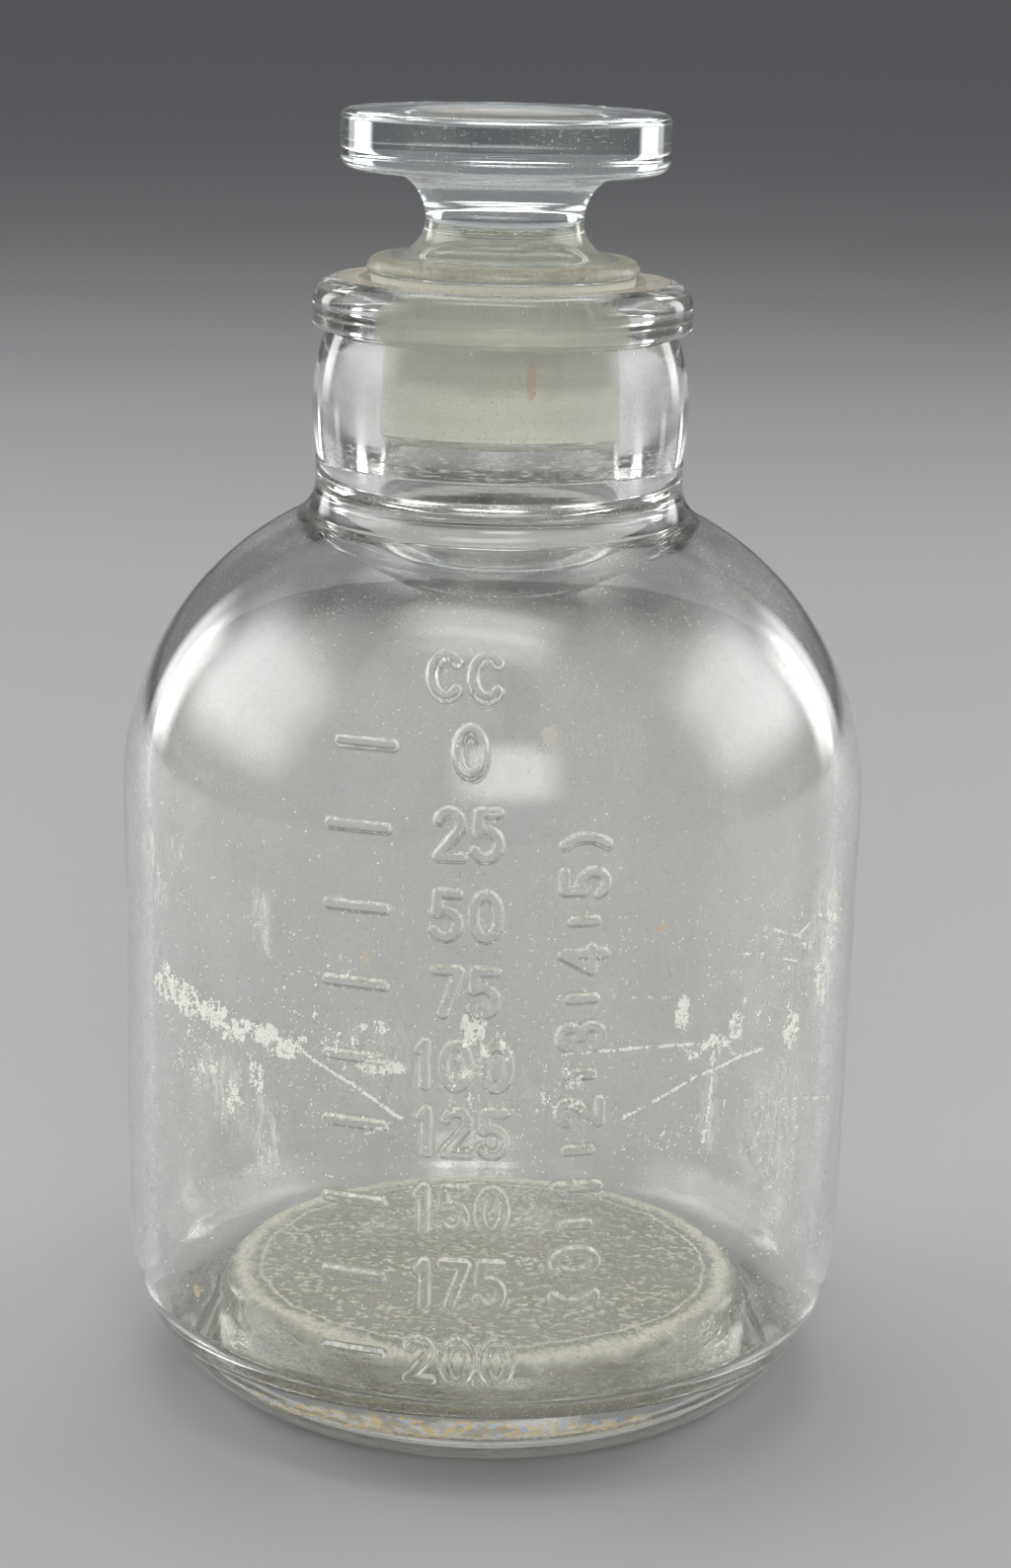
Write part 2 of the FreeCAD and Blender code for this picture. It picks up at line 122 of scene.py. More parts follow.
class Section:
    """Half-section of a turned piece, as points with the true normal at each.

    Attributes:
        same_place: Distance below which two points are one, in millimetres.
        corner_step: Turn between two points of a rounded corner.
        points: Radius and height of each point.
        normals: Outward and upward part of the normal at each.
        zones: Finish of the surface up to each.
        radii: The points' radii.
        heights: The points' heights.
    """

    same_place = 1e-4
    corner_step = math.radians(24)

    def __init__(self, start: Point, stretches: Sequence[Stretch], fineness: float = 1.0) -> None:
        """Works out the points of the section.

        Args:
            start: Radius and height of the first point, in millimetres.
            stretches: The lines and arcs that follow.
            fineness: Divides every step, for a finer copy of the same section.
        """
        self.points: list[Point] = []
        self.normals: list[Point] = []
        self.zones: list[Zone] = []
        runs = []
        here = start
        for stretch in stretches:
            runs.append(self._run(here, stretch, fineness))
            here = (stretch.radius, stretch.height)
        for index, (points, tangents) in enumerate(runs):
            stretch = stretches[index]
            first = 0
            if index and stretches[index - 1].soft:
                first = self._trimmed(points, stretches[index - 1].soft, tangents[0], runs[index - 1][1][-1])
            for point, tangent in zip(points[first:], tangents[first:]):
                self._add(point, tangent, stretch.zone)
            if index + 1 < len(runs) and stretch.soft:
                self._round(stretch, tangents[-1], runs[index + 1][1][0])
        self.radii = np.array([point[0] for point in self.points])
        self.heights = np.array([point[1] for point in self.points])

    @staticmethod
    def _run(start: Point, stretch: Stretch, fineness: float) -> tuple[list[Point], list[Point]]:
        """Works out the points and tangents along one line or arc.

        Args:
            start: Where it begins.
            stretch: The line or arc.
            fineness: Divides the step.

        Returns:
            The points, and the unit tangent at each.
        """
        end = (stretch.radius, stretch.height)
        chord = (end[0] - start[0], end[1] - start[1])
        length = math.hypot(*chord)
        step = stretch.step / fineness
        if stretch.turn is Turn.STRAIGHT:
            count = max(1, math.ceil(length / step))
            shares = [index / count for index in range(count + 1)]
            points = [(start[0] + chord[0] * share, start[1] + chord[1] * share) for share in shares]
            return points, [(chord[0] / length, chord[1] / length)] * (count + 1)
        side = stretch.turn.value
        reach = math.sqrt(max(stretch.bend ** 2 - (length / 2) ** 2, 0.0)) * side
        centre = (
            (start[0] + end[0]) / 2 - chord[1] / length * reach,
            (start[1] + end[1]) / 2 + chord[0] / length * reach,
        )
        first = math.atan2(start[1] - centre[1], start[0] - centre[0])
        sweep = 2 * math.asin(min(length / 2 / stretch.bend, 1.0)) * side
        count = max(2, math.ceil(abs(sweep) * stretch.bend / step))
        turns = [first + sweep * index / count for index in range(count + 1)]
        points = [
            (centre[0] + stretch.bend * math.cos(turn), centre[1] + stretch.bend * math.sin(turn))
            for turn in turns
        ]
        return points, [(-math.sin(turn) * side, math.cos(turn) * side) for turn in turns]

    @staticmethod
    def _trimmed(points: list[Point], soft: float, after: Point, before: Point) -> int:
        """Counts the points at the start of a run that make way for a rounded corner.

        Args:
            points: The run's points.
            soft: Rounding of the corner.
            after: Tangent on the way out of it.
            before: Tangent on the way in.

        Returns:
            How many points to leave out.
        """
        turn = math.acos(max(-1.0, min(1.0, after[0] * before[0] + after[1] * before[1])))
        reach = soft * math.tan(turn / 2)
        return sum(math.dist(point, points[0]) <= reach for point in points)

    def _add(self, point: Point, tangent: Point, zone: Zone) -> None:
        """Adds a point, unless it repeats the last one.

        Args:
            point: Its radius and height.
            tangent: Tangent of the section there.
            zone: Finish of the surface up to it.
        """
        if self.points and math.dist(point, self.points[-1]) < self.same_place:
            return
        self.points.append((max(point[0], 0.0), point[1]))
        self.normals.append((tangent[1], -tangent[0]))
        self.zones.append(zone)

    def _round(self, stretch: Stretch, before: Point, after: Point) -> None:
        """Rounds the corner at the end of a stretch with a few points.

        Args:
            stretch: The stretch that ends at the corner.
            before: Tangent on the way in.
            after: Tangent on the way out.
        """
        corner = (stretch.radius, stretch.height)
        cross = before[0] * after[1] - before[1] * after[0]
        turn = math.atan2(cross, before[0] * after[0] + before[1] * after[1])
        reach = stretch.soft * math.tan(abs(turn) / 2)
        while len(self.points) > 1 and math.dist(self.points[-1], corner) <= reach:
            self.points.pop()
            self.normals.pop()
            self.zones.pop()
        side = math.copysign(1.0, turn)
        entry = (corner[0] - before[0] * reach, corner[1] - before[1] * reach)
        centre = (entry[0] - before[1] * stretch.soft * side, entry[1] + before[0] * stretch.soft * side)
        count = max(2, round(abs(turn) / self.corner_step))
        for index in range(count + 1):
            angle = turn * index / count
            tangent = (
                before[0] * math.cos(angle) - before[1] * math.sin(angle),
                before[0] * math.sin(angle) + before[1] * math.cos(angle),
            )
            point = (
                centre[0] + tangent[1] * stretch.soft * side,
                centre[1] - tangent[0] * stretch.soft * side,
            )
            self._add(point, tangent, stretch.zone)


class Lathe:
    """Turns sections into closed glass pieces.

    Attributes:
        segments: Number of flat sides round a piece.
        merge_within: Distance within which two corners become one, in metres.
    """

    segments = 144
    merge_within = MM / 1000

    @staticmethod
    def turn(name: str, section: Section) -> Piece:
        """Extrudes a section point by point and spins it round the upright axis.

        Args:
            name: Name of the piece.
            section: The half-section.

        Returns:
            The closed, turned piece.
        """
        bpy.ops.object.select_all(action="DESELECT")
        bpy.ops.mesh.primitive_plane_add(size=MM)
        piece = bpy.context.active_object
        piece.name = name
        piece.data.name = name
        bpy.ops.object.mode_set(mode="EDIT")
        bpy.ops.mesh.select_mode(type="VERT")
        bpy.ops.mesh.select_all(action="SELECT")
        bpy.ops.mesh.merge(type="CENTER")
        here = (0.0, 0.0)
        for index, point in enumerate(section.points):
            move = ((point[0] - here[0]) * MM, 0.0, (point[1] - here[1]) * MM)
            if index:
                bpy.ops.mesh.extrude_region_move(TRANSFORM_OT_translate={"value": move})
            else:
                bpy.ops.transform.translate(value=move)
            here = point
        bpy.ops.mesh.select_all(action="SELECT")
        bpy.ops.mesh.spin(steps=Lathe.segments, angle=FULL_TURN, center=(0, 0, 0), axis=(0, 0, 1))
        bpy.ops.mesh.select_all(action="SELECT")
        bpy.ops.mesh.remove_doubles(threshold=Lathe.merge_within)
        bpy.ops.mesh.normals_make_consistent(inside=False)
        bpy.ops.mesh.select_all(action="DESELECT")
        bpy.ops.object.mode_set(mode="OBJECT")
        Lathe.give_zones(piece, section)
        return piece

    @staticmethod
    def give_zones(piece: Piece, section: Section) -> None:
        """Gives every face the material slot of the stretch that it lies on.

        Args:
            piece: The turned piece.
            section: Its section.
        """
        middles = face_middles(piece)
        corners = np.c_[section.radii, section.heights]
        zones = np.array([zone.value for zone in section.zones[1:]])
        nearest = nearest_index(np.c_[radii(middles), middles[:, 2]], (corners[1:] + corners[:-1]) / 2)
        piece.data.polygons.foreach_set("material_index", zones[nearest].astype(np.int32))
        piece.data.polygons.foreach_set("use_smooth", np.ones(len(middles), bool))
        piece.data.update()

    @staticmethod
    def section_normals(points: np.ndarray, section: Section) -> np.ndarray:
        """Normals of a section at the points of its turned piece.

        Args:
            points: Vertex positions, in millimetres.
            section: The section.

        Returns:
            Outward and upward part of the normal at each point.
        """
        nearest = nearest_index(np.c_[radii(points), points[:, 2]], np.c_[section.radii, section.heights])
        return np.array(section.normals)[nearest]

    @staticmethod
    def give_normals(piece: Piece, flat: np.ndarray, slope: np.ndarray | None = None) -> None:
        """Gives a turned piece its exact normals.

        Args:
            piece: The piece.
            flat: Outward and upward part of the section's normal at every vertex.
            slope: Slope of a relief round and up the wall at every vertex, if there is one.
        """
        points = places(piece)
        radius = radii(points)[:, None]
        flat = flat / np.hypot(flat[:, 0], flat[:, 1])[:, None]
        out = np.where(radius > NEAR_ZERO, points[:, :2] / np.maximum(radius, NEAR_ZERO), 0.0)
        normals = np.c_[out * flat[:, :1], flat[:, 1]]
        if slope is not None:
            round_way = np.c_[-out[:, 1], out[:, 0], np.zeros(len(points))]
            up_way = np.c_[-out * flat[:, 1:], flat[:, 0]]
            normals -= round_way * slope[:, :1] + up_way * slope[:, 1:]
            normals /= np.linalg.norm(normals, axis=1)[:, None]
        piece.data.normals_split_custom_set_from_vertices(normals.tolist())


def nearest_index(points: np.ndarray, targets: np.ndarray) -> np.ndarray:
    """Finds the nearest target to each point, a few thousand points at a time.

    Args:
        points: The points, a row each.
        targets: The targets, a row each.

    Returns:
        Index of the target for each point.
    """
    found = np.empty(len(points), int)
    for start in range(0, len(points), AT_ONCE):
        part = points[start:start + AT_ONCE, None, :] - targets[None, :, :]
        found[start:start + AT_ONCE] = (part ** 2).sum(2).argmin(1)
    return found


def distance_to(points: np.ndarray, lines: np.ndarray) -> np.ndarray:
    """Measures how far points of a surface are from the nearest of some straight lines on it.

    Args:
        points: The points, a row each.
        lines: The lines, each a row with the places of both ends.

    Returns:
        The distance for each point.
    """
    start, span = lines[:, :2], lines[:, 2:] - lines[:, :2]
    square = np.maximum((span ** 2).sum(1), NEAR_ZERO ** 2)
    found = np.empty(len(points))
    for first in range(0, len(points), AT_ONCE):
        offset = points[first:first + AT_ONCE, None, :] - start[None, :, :]
        share = np.clip((offset * span).sum(2) / square, 0.0, 1.0)
        found[first:first + AT_ONCE] = np.sqrt(((offset - share[:, :, None] * span) ** 2).sum(2).min(1))
    return found


def read_places(items: bpy.types.bpy_prop_collection, name: str) -> np.ndarray:
    """Reads a place from each vertex or face of a mesh.

    Args:
        items: The vertices or faces.
        name: The property that holds the place.

    Returns:
        The places in millimetres, a row each.
    """
    values = np.empty(len(items) * 3)
    items.foreach_get(name, values)
    return values.reshape(-1, 3) / MM


def places(piece: Piece) -> np.ndarray:
    """Vertex positions of a piece, in millimetres."""
    return read_places(piece.data.vertices, "co")


def face_middles(piece: Piece) -> np.ndarray:
    """Middles of a piece's faces, in millimetres."""
    return read_places(piece.data.polygons, "center")


def put_places(piece: Piece, values: np.ndarray) -> None:
    """Writes vertex positions, given in millimetres, back to a piece."""
    piece.data.vertices.foreach_set("co", (values * MM).ravel())
    piece.data.update()


def pick_faces(piece: Piece, chosen: np.ndarray) -> None:
    """Opens a piece in edit mode with only some of its faces selected.

    Args:
        piece: The piece.
        chosen: True for each face to select.
    """
    bpy.ops.object.select_all(action="DESELECT")
    bpy.context.view_layer.objects.active = piece
    piece.select_set(True)
    bpy.ops.object.mode_set(mode="EDIT")
    bpy.ops.mesh.select_mode(type="FACE")
    bpy.ops.mesh.select_all(action="DESELECT")
    bpy.ops.object.mode_set(mode="OBJECT")
    piece.data.polygons.foreach_set("select", chosen)
    bpy.ops.object.mode_set(mode="EDIT")


def radii(points: np.ndarray) -> np.ndarray:
    """Distance of each point from the upright axis."""
    return np.hypot(points[:, 0], points[:, 1])


def angles(points: np.ndarray) -> np.ndarray:
    """Angle of each point round the upright axis, from the front, positive to the right."""
    return np.arctan2(points[:, 0], -points[:, 1])


def smoothstep(values: np.ndarray) -> np.ndarray:
    """Values from 0 to 1 eased at both ends."""
    clipped = np.clip(values, 0.0, 1.0)
    return clipped * clipped * (3 - 2 * clipped)


class Glyphs:
    """Single-stroke figures, drawn as chains of points in a box one high, from its lower left corner.

    Attributes:
        bow_step: Turn between two points of a curve, in degrees.
    """

    bow_step = 18

    @classmethod
    def bow(cls, x: float, y: float, across: float, up: float, start: float, end: float) -> list[Point]:
        """Draws part of an oval.

        Args:
            x: Its middle, to the right.
            y: Its middle, upwards.
            across: Its half-width.
            up: Its half-height.
            start: Angle where it starts, in degrees.
            end: Angle where it ends.

        Returns:
            The chain of points.
        """
        count = max(3, round(abs(end - start) / cls.bow_step))
        steps = [math.radians(start + (end - start) * index / count) for index in range(count + 1)]
        return [(x + across * math.cos(step), y + up * math.sin(step)) for step in steps]

    @classmethod
    def strokes(cls, letter: str) -> tuple[float, list[list[Point]]]:
        """Draws a figure.

        Args:
            letter: A digit, C, a bar or a bracket.

        Returns:
            The width as a share of the height, and the chains of points.
        """
        bow = cls.bow
        drawn = {
            "0": (0.56, [bow(0.28, 0.5, 0.28, 0.5, 0, 360)]),
            "1": (0.20, [[(0.12, 0.0), (0.12, 1.0), (0.0, 0.84)]]),
            "2": (0.50, [bow(0.25, 0.74, 0.25, 0.26, 165, -25) + [(0.0, 0.0), (0.52, 0.0)]]),
            "3": (0.50, [bow(0.24, 0.76, 0.24, 0.24, 160, -90), bow(0.24, 0.26, 0.26, 0.26, 90, -160)]),
            "4": (0.52, [[(0.40, 0.0), (0.40, 1.0), (0.0, 0.3), (0.54, 0.3)]]),
            "5": (0.50, [[(0.48, 1.0), (0.06, 1.0), (0.03, 0.56)] + bow(0.22, 0.31, 0.28, 0.31, 120, -150)]),
            "7": (0.48, [[(0.0, 1.0), (0.50, 1.0), (0.16, 0.0)]]),
            "C": (0.58, [bow(0.32, 0.5, 0.32, 0.5, 42, 318)]),
            "-": (0.24, [[(0.12, 0.22), (0.12, 0.78)]]),
            "(": (0.26, [bow(0.42, 0.5, 0.40, 0.62, 125, 235)]),
            ")": (0.26, [bow(-0.16, 0.5, 0.40, 0.62, 55, -55)]),
        }
        return drawn[letter]


@dataclass
class Graduation:
    """The raised marks and figures on the front, laid out on the glass surface in millimetres.

    Along the surface, u runs to the right from the front and v runs up, measured along the wall.

    Attributes:
        heights: Height of each mark, by its figures.
        mark_turn: Angle of the marks' middles from the front, in degrees.
        mark_span: Angle that they span.
        figure_middle: Middle of the figures, u.
        figure_height: How high they are.
        figure_gap: Gap between two of them.
        figure_drop: How far their middles lie below the mark.
        unit: The letters above the scale.
        unit_height: Height of their middle.
        unit_shift: How far they lie to the right of the figures.
        column_text: Plain figures that read upwards beside the scale.
        column_middle: Middle of that column, u.
        column_low: Height where it starts.
        column_high: Height where it ends.
        column_height: How high its figures are.
        reach: Distance from a stroke's middle line to the foot of its relief.
        flat: Distance from it to the edge of its top.
        rise: Height of the relief.
    """

    heights: dict[str, float] = field(default_factory=lambda: {
        "0": 71.1, "25": 64.0, "50": 56.7, "75": 49.6, "100": 42.7,
        "125": 36.4, "150": 29.0, "175": 21.8, "200": 14.2,
    })
    mark_turn: float = -19.3
    mark_span: float = 9.6
    figure_middle: float = -2.0
    figure_height: float = 4.0
    figure_gap: float = 1.35
    figure_drop: float = 0.15
    unit: str = "CC"
    unit_height: float = 77.0
    unit_shift: float = -0.6
    column_text: str = "(0-1-2-3-4-5)"
    column_middle: float = 8.45
    column_low: float = 18.4
    column_high: float = 65.0
    column_height: float = 3.8
    reach: float = 0.68
    flat: float = 0.20
    rise: float = 0.5

    def word(self, text: str, middle: float, base: float) -> list[list[Point]]:
        """Draws a row of figures, centred on u and standing on v.

        Args:
            text: The figures.
            middle: Middle of the row, u.
            base: Foot of the row, v.

        Returns:
            Chains of points.
        """
        size = self.figure_height
        drawn = [Glyphs.strokes(letter) for letter in text]
        total = sum(width for width, chains in drawn) * size + self.figure_gap * (len(text) - 1)
        left = middle - total / 2
        rows = []
        for width, chains in drawn:
            rows += [[(left + x * size, base + y * size) for x, y in chain] for chain in chains]
            left += width * size + self.figure_gap
        return rows

    def column(self, low: float, high: float) -> list[list[Point]]:
        """Draws the plain figures that read upwards beside the scale.

        Args:
            low: Where they start, v.
            high: Where they end, v.

        Returns:
            Chains of points.
        """
        size = self.column_height
        pitch = (high - low) / len(self.column_text)
        rows = []
        for index, letter in enumerate(self.column_text):
            width, chains = Glyphs.strokes(letter)
            start = low + pitch * (index + 0.5) - width * size / 2
            foot = self.column_middle + size / 2
            rows += [[(foot - y * size, start + x * size) for x, y in chain] for chain in chains]
        return rows

    def strokes(self, along: Callable[[float], float], radius: Callable[[float], float]) -> np.ndarray:
        """Draws every stroke of the relief as short straight lines.

        Args:
            along: Gives v at a height.
            radius: Gives the glass radius at a height.

        Returns:
            One row for each line, with u and v of both ends.
        """
        chains = []
        for text, height in self.heights.items():
            middle = math.radians(self.mark_turn) * radius(height)
            half = math.radians(self.mark_span) / 2 * radius(height) - self.reach / 2
            chains.append([(middle - half, along(height)), (middle + half, along(height))])
            foot = along(height - self.figure_drop) - self.figure_height / 2
            chains += self.word(text, self.figure_middle, foot)
        foot = along(self.unit_height) - self.figure_height / 2
        chains += self.word(self.unit, self.figure_middle + self.unit_shift, foot)
        chains += self.column(along(self.column_low), along(self.column_high))
        return np.array([a + b for chain in chains for a, b in zip(chain, chain[1:])])


@dataclass(frozen=True)
class Spot:
    """A spot on the glass, full in its core and gone at its rim.

    Attributes:
        turn: Angle from the front, positive to the right, in degrees.
        height: Its height, in millimetres.
        radius: Radius of the glass there.
        reach: Its half-width and half-height.
        strength: How much of it is covered, from 0 to 1.
        core: Share of its reach up to which it is full.
        rim: Share of its reach at which it ends.
    """

    turn: float
    height: float
    radius: float
    reach: Point
    strength: float
    core: ClassVar[float] = 0.6
    rim: ClassVar[float] = 1.2

    @property
    def middle(self) -> Place:
        """Its middle."""
        angle = math.radians(self.turn)
        return (self.radius * math.sin(angle), -self.radius * math.cos(angle), self.height)

    @property
    def size(self) -> Place:
        """Its half-lengths along the axes."""
        return (self.reach[0], self.reach[0], self.reach[1])


@dataclass(frozen=True)
class Grain:
    """A noise on the piece's own coordinates.

    Attributes:
        size: Size of its features, in millimetres.
        detail: Octaves of finer noise.
        roughness: Strength of the finer octaves.
        stretch: Scale along each axis, lower where the features are longer.
        band: The noise's values that are eased to 0 and to 1.
    """

    size: float
    detail: float = 2.0
    roughness: float = 0.5
    stretch: Place = EVEN
    band: Point = (0.0, 1.0)


class Nodes:
    """A node tree, filled in by short calls. Places on the piece are in millimetres."""

    def __init__(self, tree: bpy.types.NodeTree, output: str = "OutputMaterial") -> None:
        """Empties a tree and adds its output.

        Args:
            tree: Tree of a material or a lamp.
            output: Type of its output node, without its ShaderNode prefix.
        """
        self.tree = tree
        self.tree.nodes.clear()
        self.output = self.add(output)

    def add(self, kind: str, *inputs: object, **named: object) -> bpy.types.Node:
        """Adds a node, with its first inputs in order and others by name.

        Args:
            kind: The node's type, without its ShaderNode prefix.
            inputs: Numbers, colours, vectors or sockets for the first inputs.
            named: Settings in lower case, and inputs by their own names with underscores for spaces.

        Returns:
            The node.
        """
        node = self.tree.nodes.new("ShaderNode" + kind)
        for value, socket in zip(inputs, node.inputs):
            self.feed(value, socket)
        for name, value in named.items():
            if name[0].islower():
                setattr(node, name, value)
            else:
                self.feed(value, node.inputs[name.replace("_", " ")])
        return node

    def feed(self, value: object, socket: Socket) -> None:
        """Links a socket to another node's output, or sets its value.

        Args:
            value: A socket, number, colour or vector.
            socket: The input that takes it.
        """
        if isinstance(value, Socket):
            self.tree.links.new(value, socket)
        elif isinstance(value, tuple) and socket.type == "RGBA":
            socket.default_value = (*value, 1.0)
        else:
            socket.default_value = value

    def finish(self, shader: Socket) -> None:
        """Links the shader to the output."""
        self.feed(shader, self.output.inputs["Surface"])

    def math(self, operation: str, *values: object) -> Socket:
        """Result of a Math node on numbers or sockets."""
        return self.add("Math", *values, operation=operation).outputs[0]

    def product(self, *values: object) -> object:
        """Product of numbers or sockets."""
        return reduce(partial(self.math, "MULTIPLY"), values)

    def largest(self, *values: object) -> object:
        """The largest of numbers or sockets."""
        return reduce(partial(self.math, "MAXIMUM"), values)

    def ranged(self, share: Socket, low: float, high: float) -> Socket:
        """A share from 0 to 1, spread evenly from low to high."""
        return self.math("MULTIPLY_ADD", share, high - low, low)

    def above(self, value: Socket, low: float, high: float) -> Socket:
        """A value eased from 0 at low to 1 at high."""
        return self.add("MapRange", value, low, high, interpolation_type="SMOOTHSTEP").outputs[0]

    def below(self, value: Socket, low: float, high: float) -> Socket:
        """A value eased from 1 at low to 0 at high."""
        return self.math("SUBTRACT", 1.0, self.above(value, low, high))

    def place(self) -> Socket:
        """Place on the piece, in metres."""
        return self.add("TexCoord").outputs["Object"]

    def length(self, vector: Socket) -> Socket:
        """Length of a vector."""
        return self.add("VectorMath", vector, operation="LENGTH").outputs["Value"]

    def height(self) -> Socket:
        """Height on the piece."""
        return self.math("DIVIDE", self.add("SeparateXYZ", self.place()).outputs["Z"], MM)

    def radius(self) -> Socket:
        """Distance from the upright axis."""
        flat = self.add("VectorMath", self.place(), (1.0, 1.0, 0.0), operation="MULTIPLY")
        return self.math("DIVIDE", self.length(flat.outputs[0]), MM)

    def noise(self, grain: Grain) -> Socket:
        """Adds a noise.

        Args:
            grain: Its size and other settings.

        Returns:
            Its value.
        """
        place = self.add("Mapping", self.place(), Scale=grain.stretch).outputs[0]
        scale = 1 / (grain.size * MM)
        texture = self.add("TexNoise", place, Scale=scale, Detail=grain.detail, Roughness=grain.roughness)
        return texture.outputs["Fac"]

    def eased(self, grain: Grain) -> Socket:
        """A noise eased from 0 to 1 over its band."""
        return self.above(self.noise(grain), *grain.band)

    def attribute(self, name: str) -> Socket:
        """A number painted on the piece, or 0 where it has none of that name."""
        return self.add("Attribute", attribute_name=name).outputs["Fac"]

    def bump(self, height: Socket, depth: float) -> Socket:
        """Normal that a height from 0 to 1 gives, with the depth that 1 stands for."""
        return self.add("Bump", Height=height, Distance=depth * MM, Strength=1.0).outputs[0]

    def spot(self, spot: Spot, wave: Socket, ragged: float = 0.5) -> Socket:
        """A ragged spot, as strong as it says in its core and 0 outside.

        Args:
            spot: Its place, size and strength.
            wave: The noise that bends its edge.
            ragged: How far it is bent.

        Returns:
            The spot's strength.
        """
        middle = tuple(value * MM for value in spot.middle)
        size = tuple(value * MM for value in spot.size)
        offset = self.add("VectorMath", self.place(), middle, operation="SUBTRACT").outputs[0]
        away = self.length(self.add("VectorMath", offset, size, operation="DIVIDE").outputs[0])
        bent = self.math("MULTIPLY_ADD", wave, 2 * ragged, away)
        return self.product(self.below(bent, spot.core + ragged, spot.rim + ragged), spot.strength)

    def tone(self, share: object, first: object, second: object) -> Socket:
        """A colour between two.

        Args:
            share: How much of the second, from 0 to 1.
            first: The first colour, or its socket.
            second: The second.

        Returns:
            The colour.
        """
        node = self.add("Mix", share, data_type="RGBA")
        # The node has inputs for numbers and vectors first, so its colours are inputs 6 and 7 and output 2.
        self.feed(first, node.inputs[6])
        self.feed(second, node.inputs[7])
        return node.outputs[2]

    def mixed(self, share: object, first: Socket, second: Socket) -> Socket:
        """A mix of two shaders, with a share of the second from 0 to 1."""
        return self.add("MixShader", share, first, second).outputs[0]

    def coat(self, colour: object, roughness: float, normal: Socket | None = None, **more: float) -> Socket:
        """A plain surface, such as dust or crust.

        Args:
            colour: Its colour, or the socket that gives it.
            roughness: From 0 for polished to 1 for matt.
            normal: Its bumped normal, if it has one.
            more: Other inputs of the shader.

        Returns:
            The shader.
        """
        if normal is not None:
            more["Normal"] = normal
        return self.add("BsdfPrincipled", Base_Color=colour, Roughness=roughness, **more).outputs[0]

    def glass(self, tint: object, roughness: float, normal: Socket | None = None,
              clear: float = 1.0) -> Socket:
        """Glass.

        Args:
            tint: Colour that each surface leaves in light that passes it.
            roughness: From 0 for polished to 1 for matt.
            normal: Its bumped normal, if it has one.
            clear: Share of the light that it lets in.

        Returns:
            The shader.
        """
        return self.coat(tint, roughness, normal, IOR=GLASS_INDEX, Transmission_Weight=clear)


@dataclass(frozen=True)
class Finish:
    """A finish with a material of its own.

    Attributes:
        name: Name of the material.
    """

    name: str

    def material(self) -> bpy.types.Material:
        """Builds the material."""
        material = bpy.data.materials.new(self.name)
        material.use_nodes = True
        nodes = Nodes(material.node_tree)
        nodes.finish(self.shader(nodes))
        return material

    def shader(self, nodes: Nodes) -> Socket:
        """Adds the finish's nodes and returns its shader."""
        raise NotImplementedError


@dataclass(frozen=True)
class ClearGlass(Finish):
    """Pressed clear glass with a slight swell, dust, rusty flecks, and films and a highlight that are painted
    on the piece.

    The films are the attributes named film, for dull dried water, edge_highlight, for a painted highlight in
    the dust's colour along the relief's edges, and gold, for the mottled film on the heel.

    Attributes:
        tint: Colour that the glass leaves in light that passes through a wall.
        swell: Height of the surface's waves, in millimetres.
        speckle: Strength of the dust's specks.
        haze: Strength of the film between them.
        thin: Share of specks, and of gold, that is left between their patches.
        edge_highlight_cover: Cover of the painted highlight on the relief's edges between streaks, and on
            them.
        dust: Colour of the dust.
        rust: Colour of the flecks.
        gold: Colour of the mottled film.
        blue: Colour of its bluish parts.
        gold_band: Values of the crumbs' noise over which that film turns from dusty to golden.
        blue_band: The same from golden to bluish.
        flecks: Small rusty flecks.
        waves, patches, streaks, mottles, specks, crumbs: The noises that shape all these.
    """

    tint: Colour
    swell: float = 0.02
    speckle: float = 0.8
    haze: float = 0.10
    thin: float = 0.4
    edge_highlight_cover: Point = (0.3, 0.65)
    dust: Colour = (0.88, 0.87, 0.80)
    rust: Colour = (0.50, 0.33, 0.13)
    gold: Colour = (0.95, 0.76, 0.36)
    blue: Colour = (0.66, 0.78, 0.90)
    gold_band: Point = (0.40, 0.52)
    blue_band: Point = (0.56, 0.64)
    flecks: tuple[Spot, ...] = ()
    waves: Grain = Grain(9.0, 1.0, stretch=DROOPING)
    patches: Grain = Grain(11.0, 3.0, 0.65, DROOPING, (0.38, 0.66))
    streaks: Grain = Grain(0.7, 3.0, 0.7, (1.0, 1.0, 0.25), (0.38, 0.62))
    mottles: Grain = Grain(1.1, 2.0, 0.7, (0.6, 0.6, 1.0), (0.42, 0.58))
    specks: Grain = Grain(0.22, band=(0.64, 0.72))
    crumbs: Grain = Grain(1.2, 3.0)

    def shader(self, nodes: Nodes) -> Socket:
        """Adds the glass and what lies on it.

        Args:
            nodes: The material's nodes.

        Returns:
            The shader.
        """
        glass = nodes.glass(self.tint, 0.0, nodes.bump(nodes.noise(self.waves), self.swell))
        patches = nodes.eased(self.patches)
        streaks = nodes.eased(self.streaks)
        mottles = nodes.eased(self.mottles)
        crumbs = nodes.noise(self.crumbs)
        specks = nodes.product(nodes.eased(self.specks), self.speckle, nodes.ranged(patches, self.thin, 1.0))
        film = nodes.product(nodes.attribute("film"), streaks)
        # Painted highlight: the relief's steep edges take the dust's colour where they would catch light.
        edge_highlight = nodes.product(nodes.attribute("edge_highlight"), nodes.ranged(streaks, *self.edge_highlight_cover))
        gold = nodes.product(nodes.attribute("gold"), nodes.ranged(mottles, self.thin, 1.0))
        rust = nodes.largest(0.0, *(nodes.spot(fleck, crumbs, ragged=0.8) for fleck in self.flecks))
        cover = nodes.largest(nodes.product(patches, self.haze), specks, film, edge_highlight, rust, gold)
        golden = nodes.product(nodes.math("GREATER_THAN", gold, 0.05), nodes.above(crumbs, *self.gold_band))
        sheen = nodes.tone(nodes.above(crumbs, *self.blue_band), self.gold, self.blue)
        colour = nodes.tone(rust, nodes.tone(golden, self.dust, sheen), self.rust)
        return nodes.mixed(cover, glass, nodes.coat(colour, roughness=0.85))


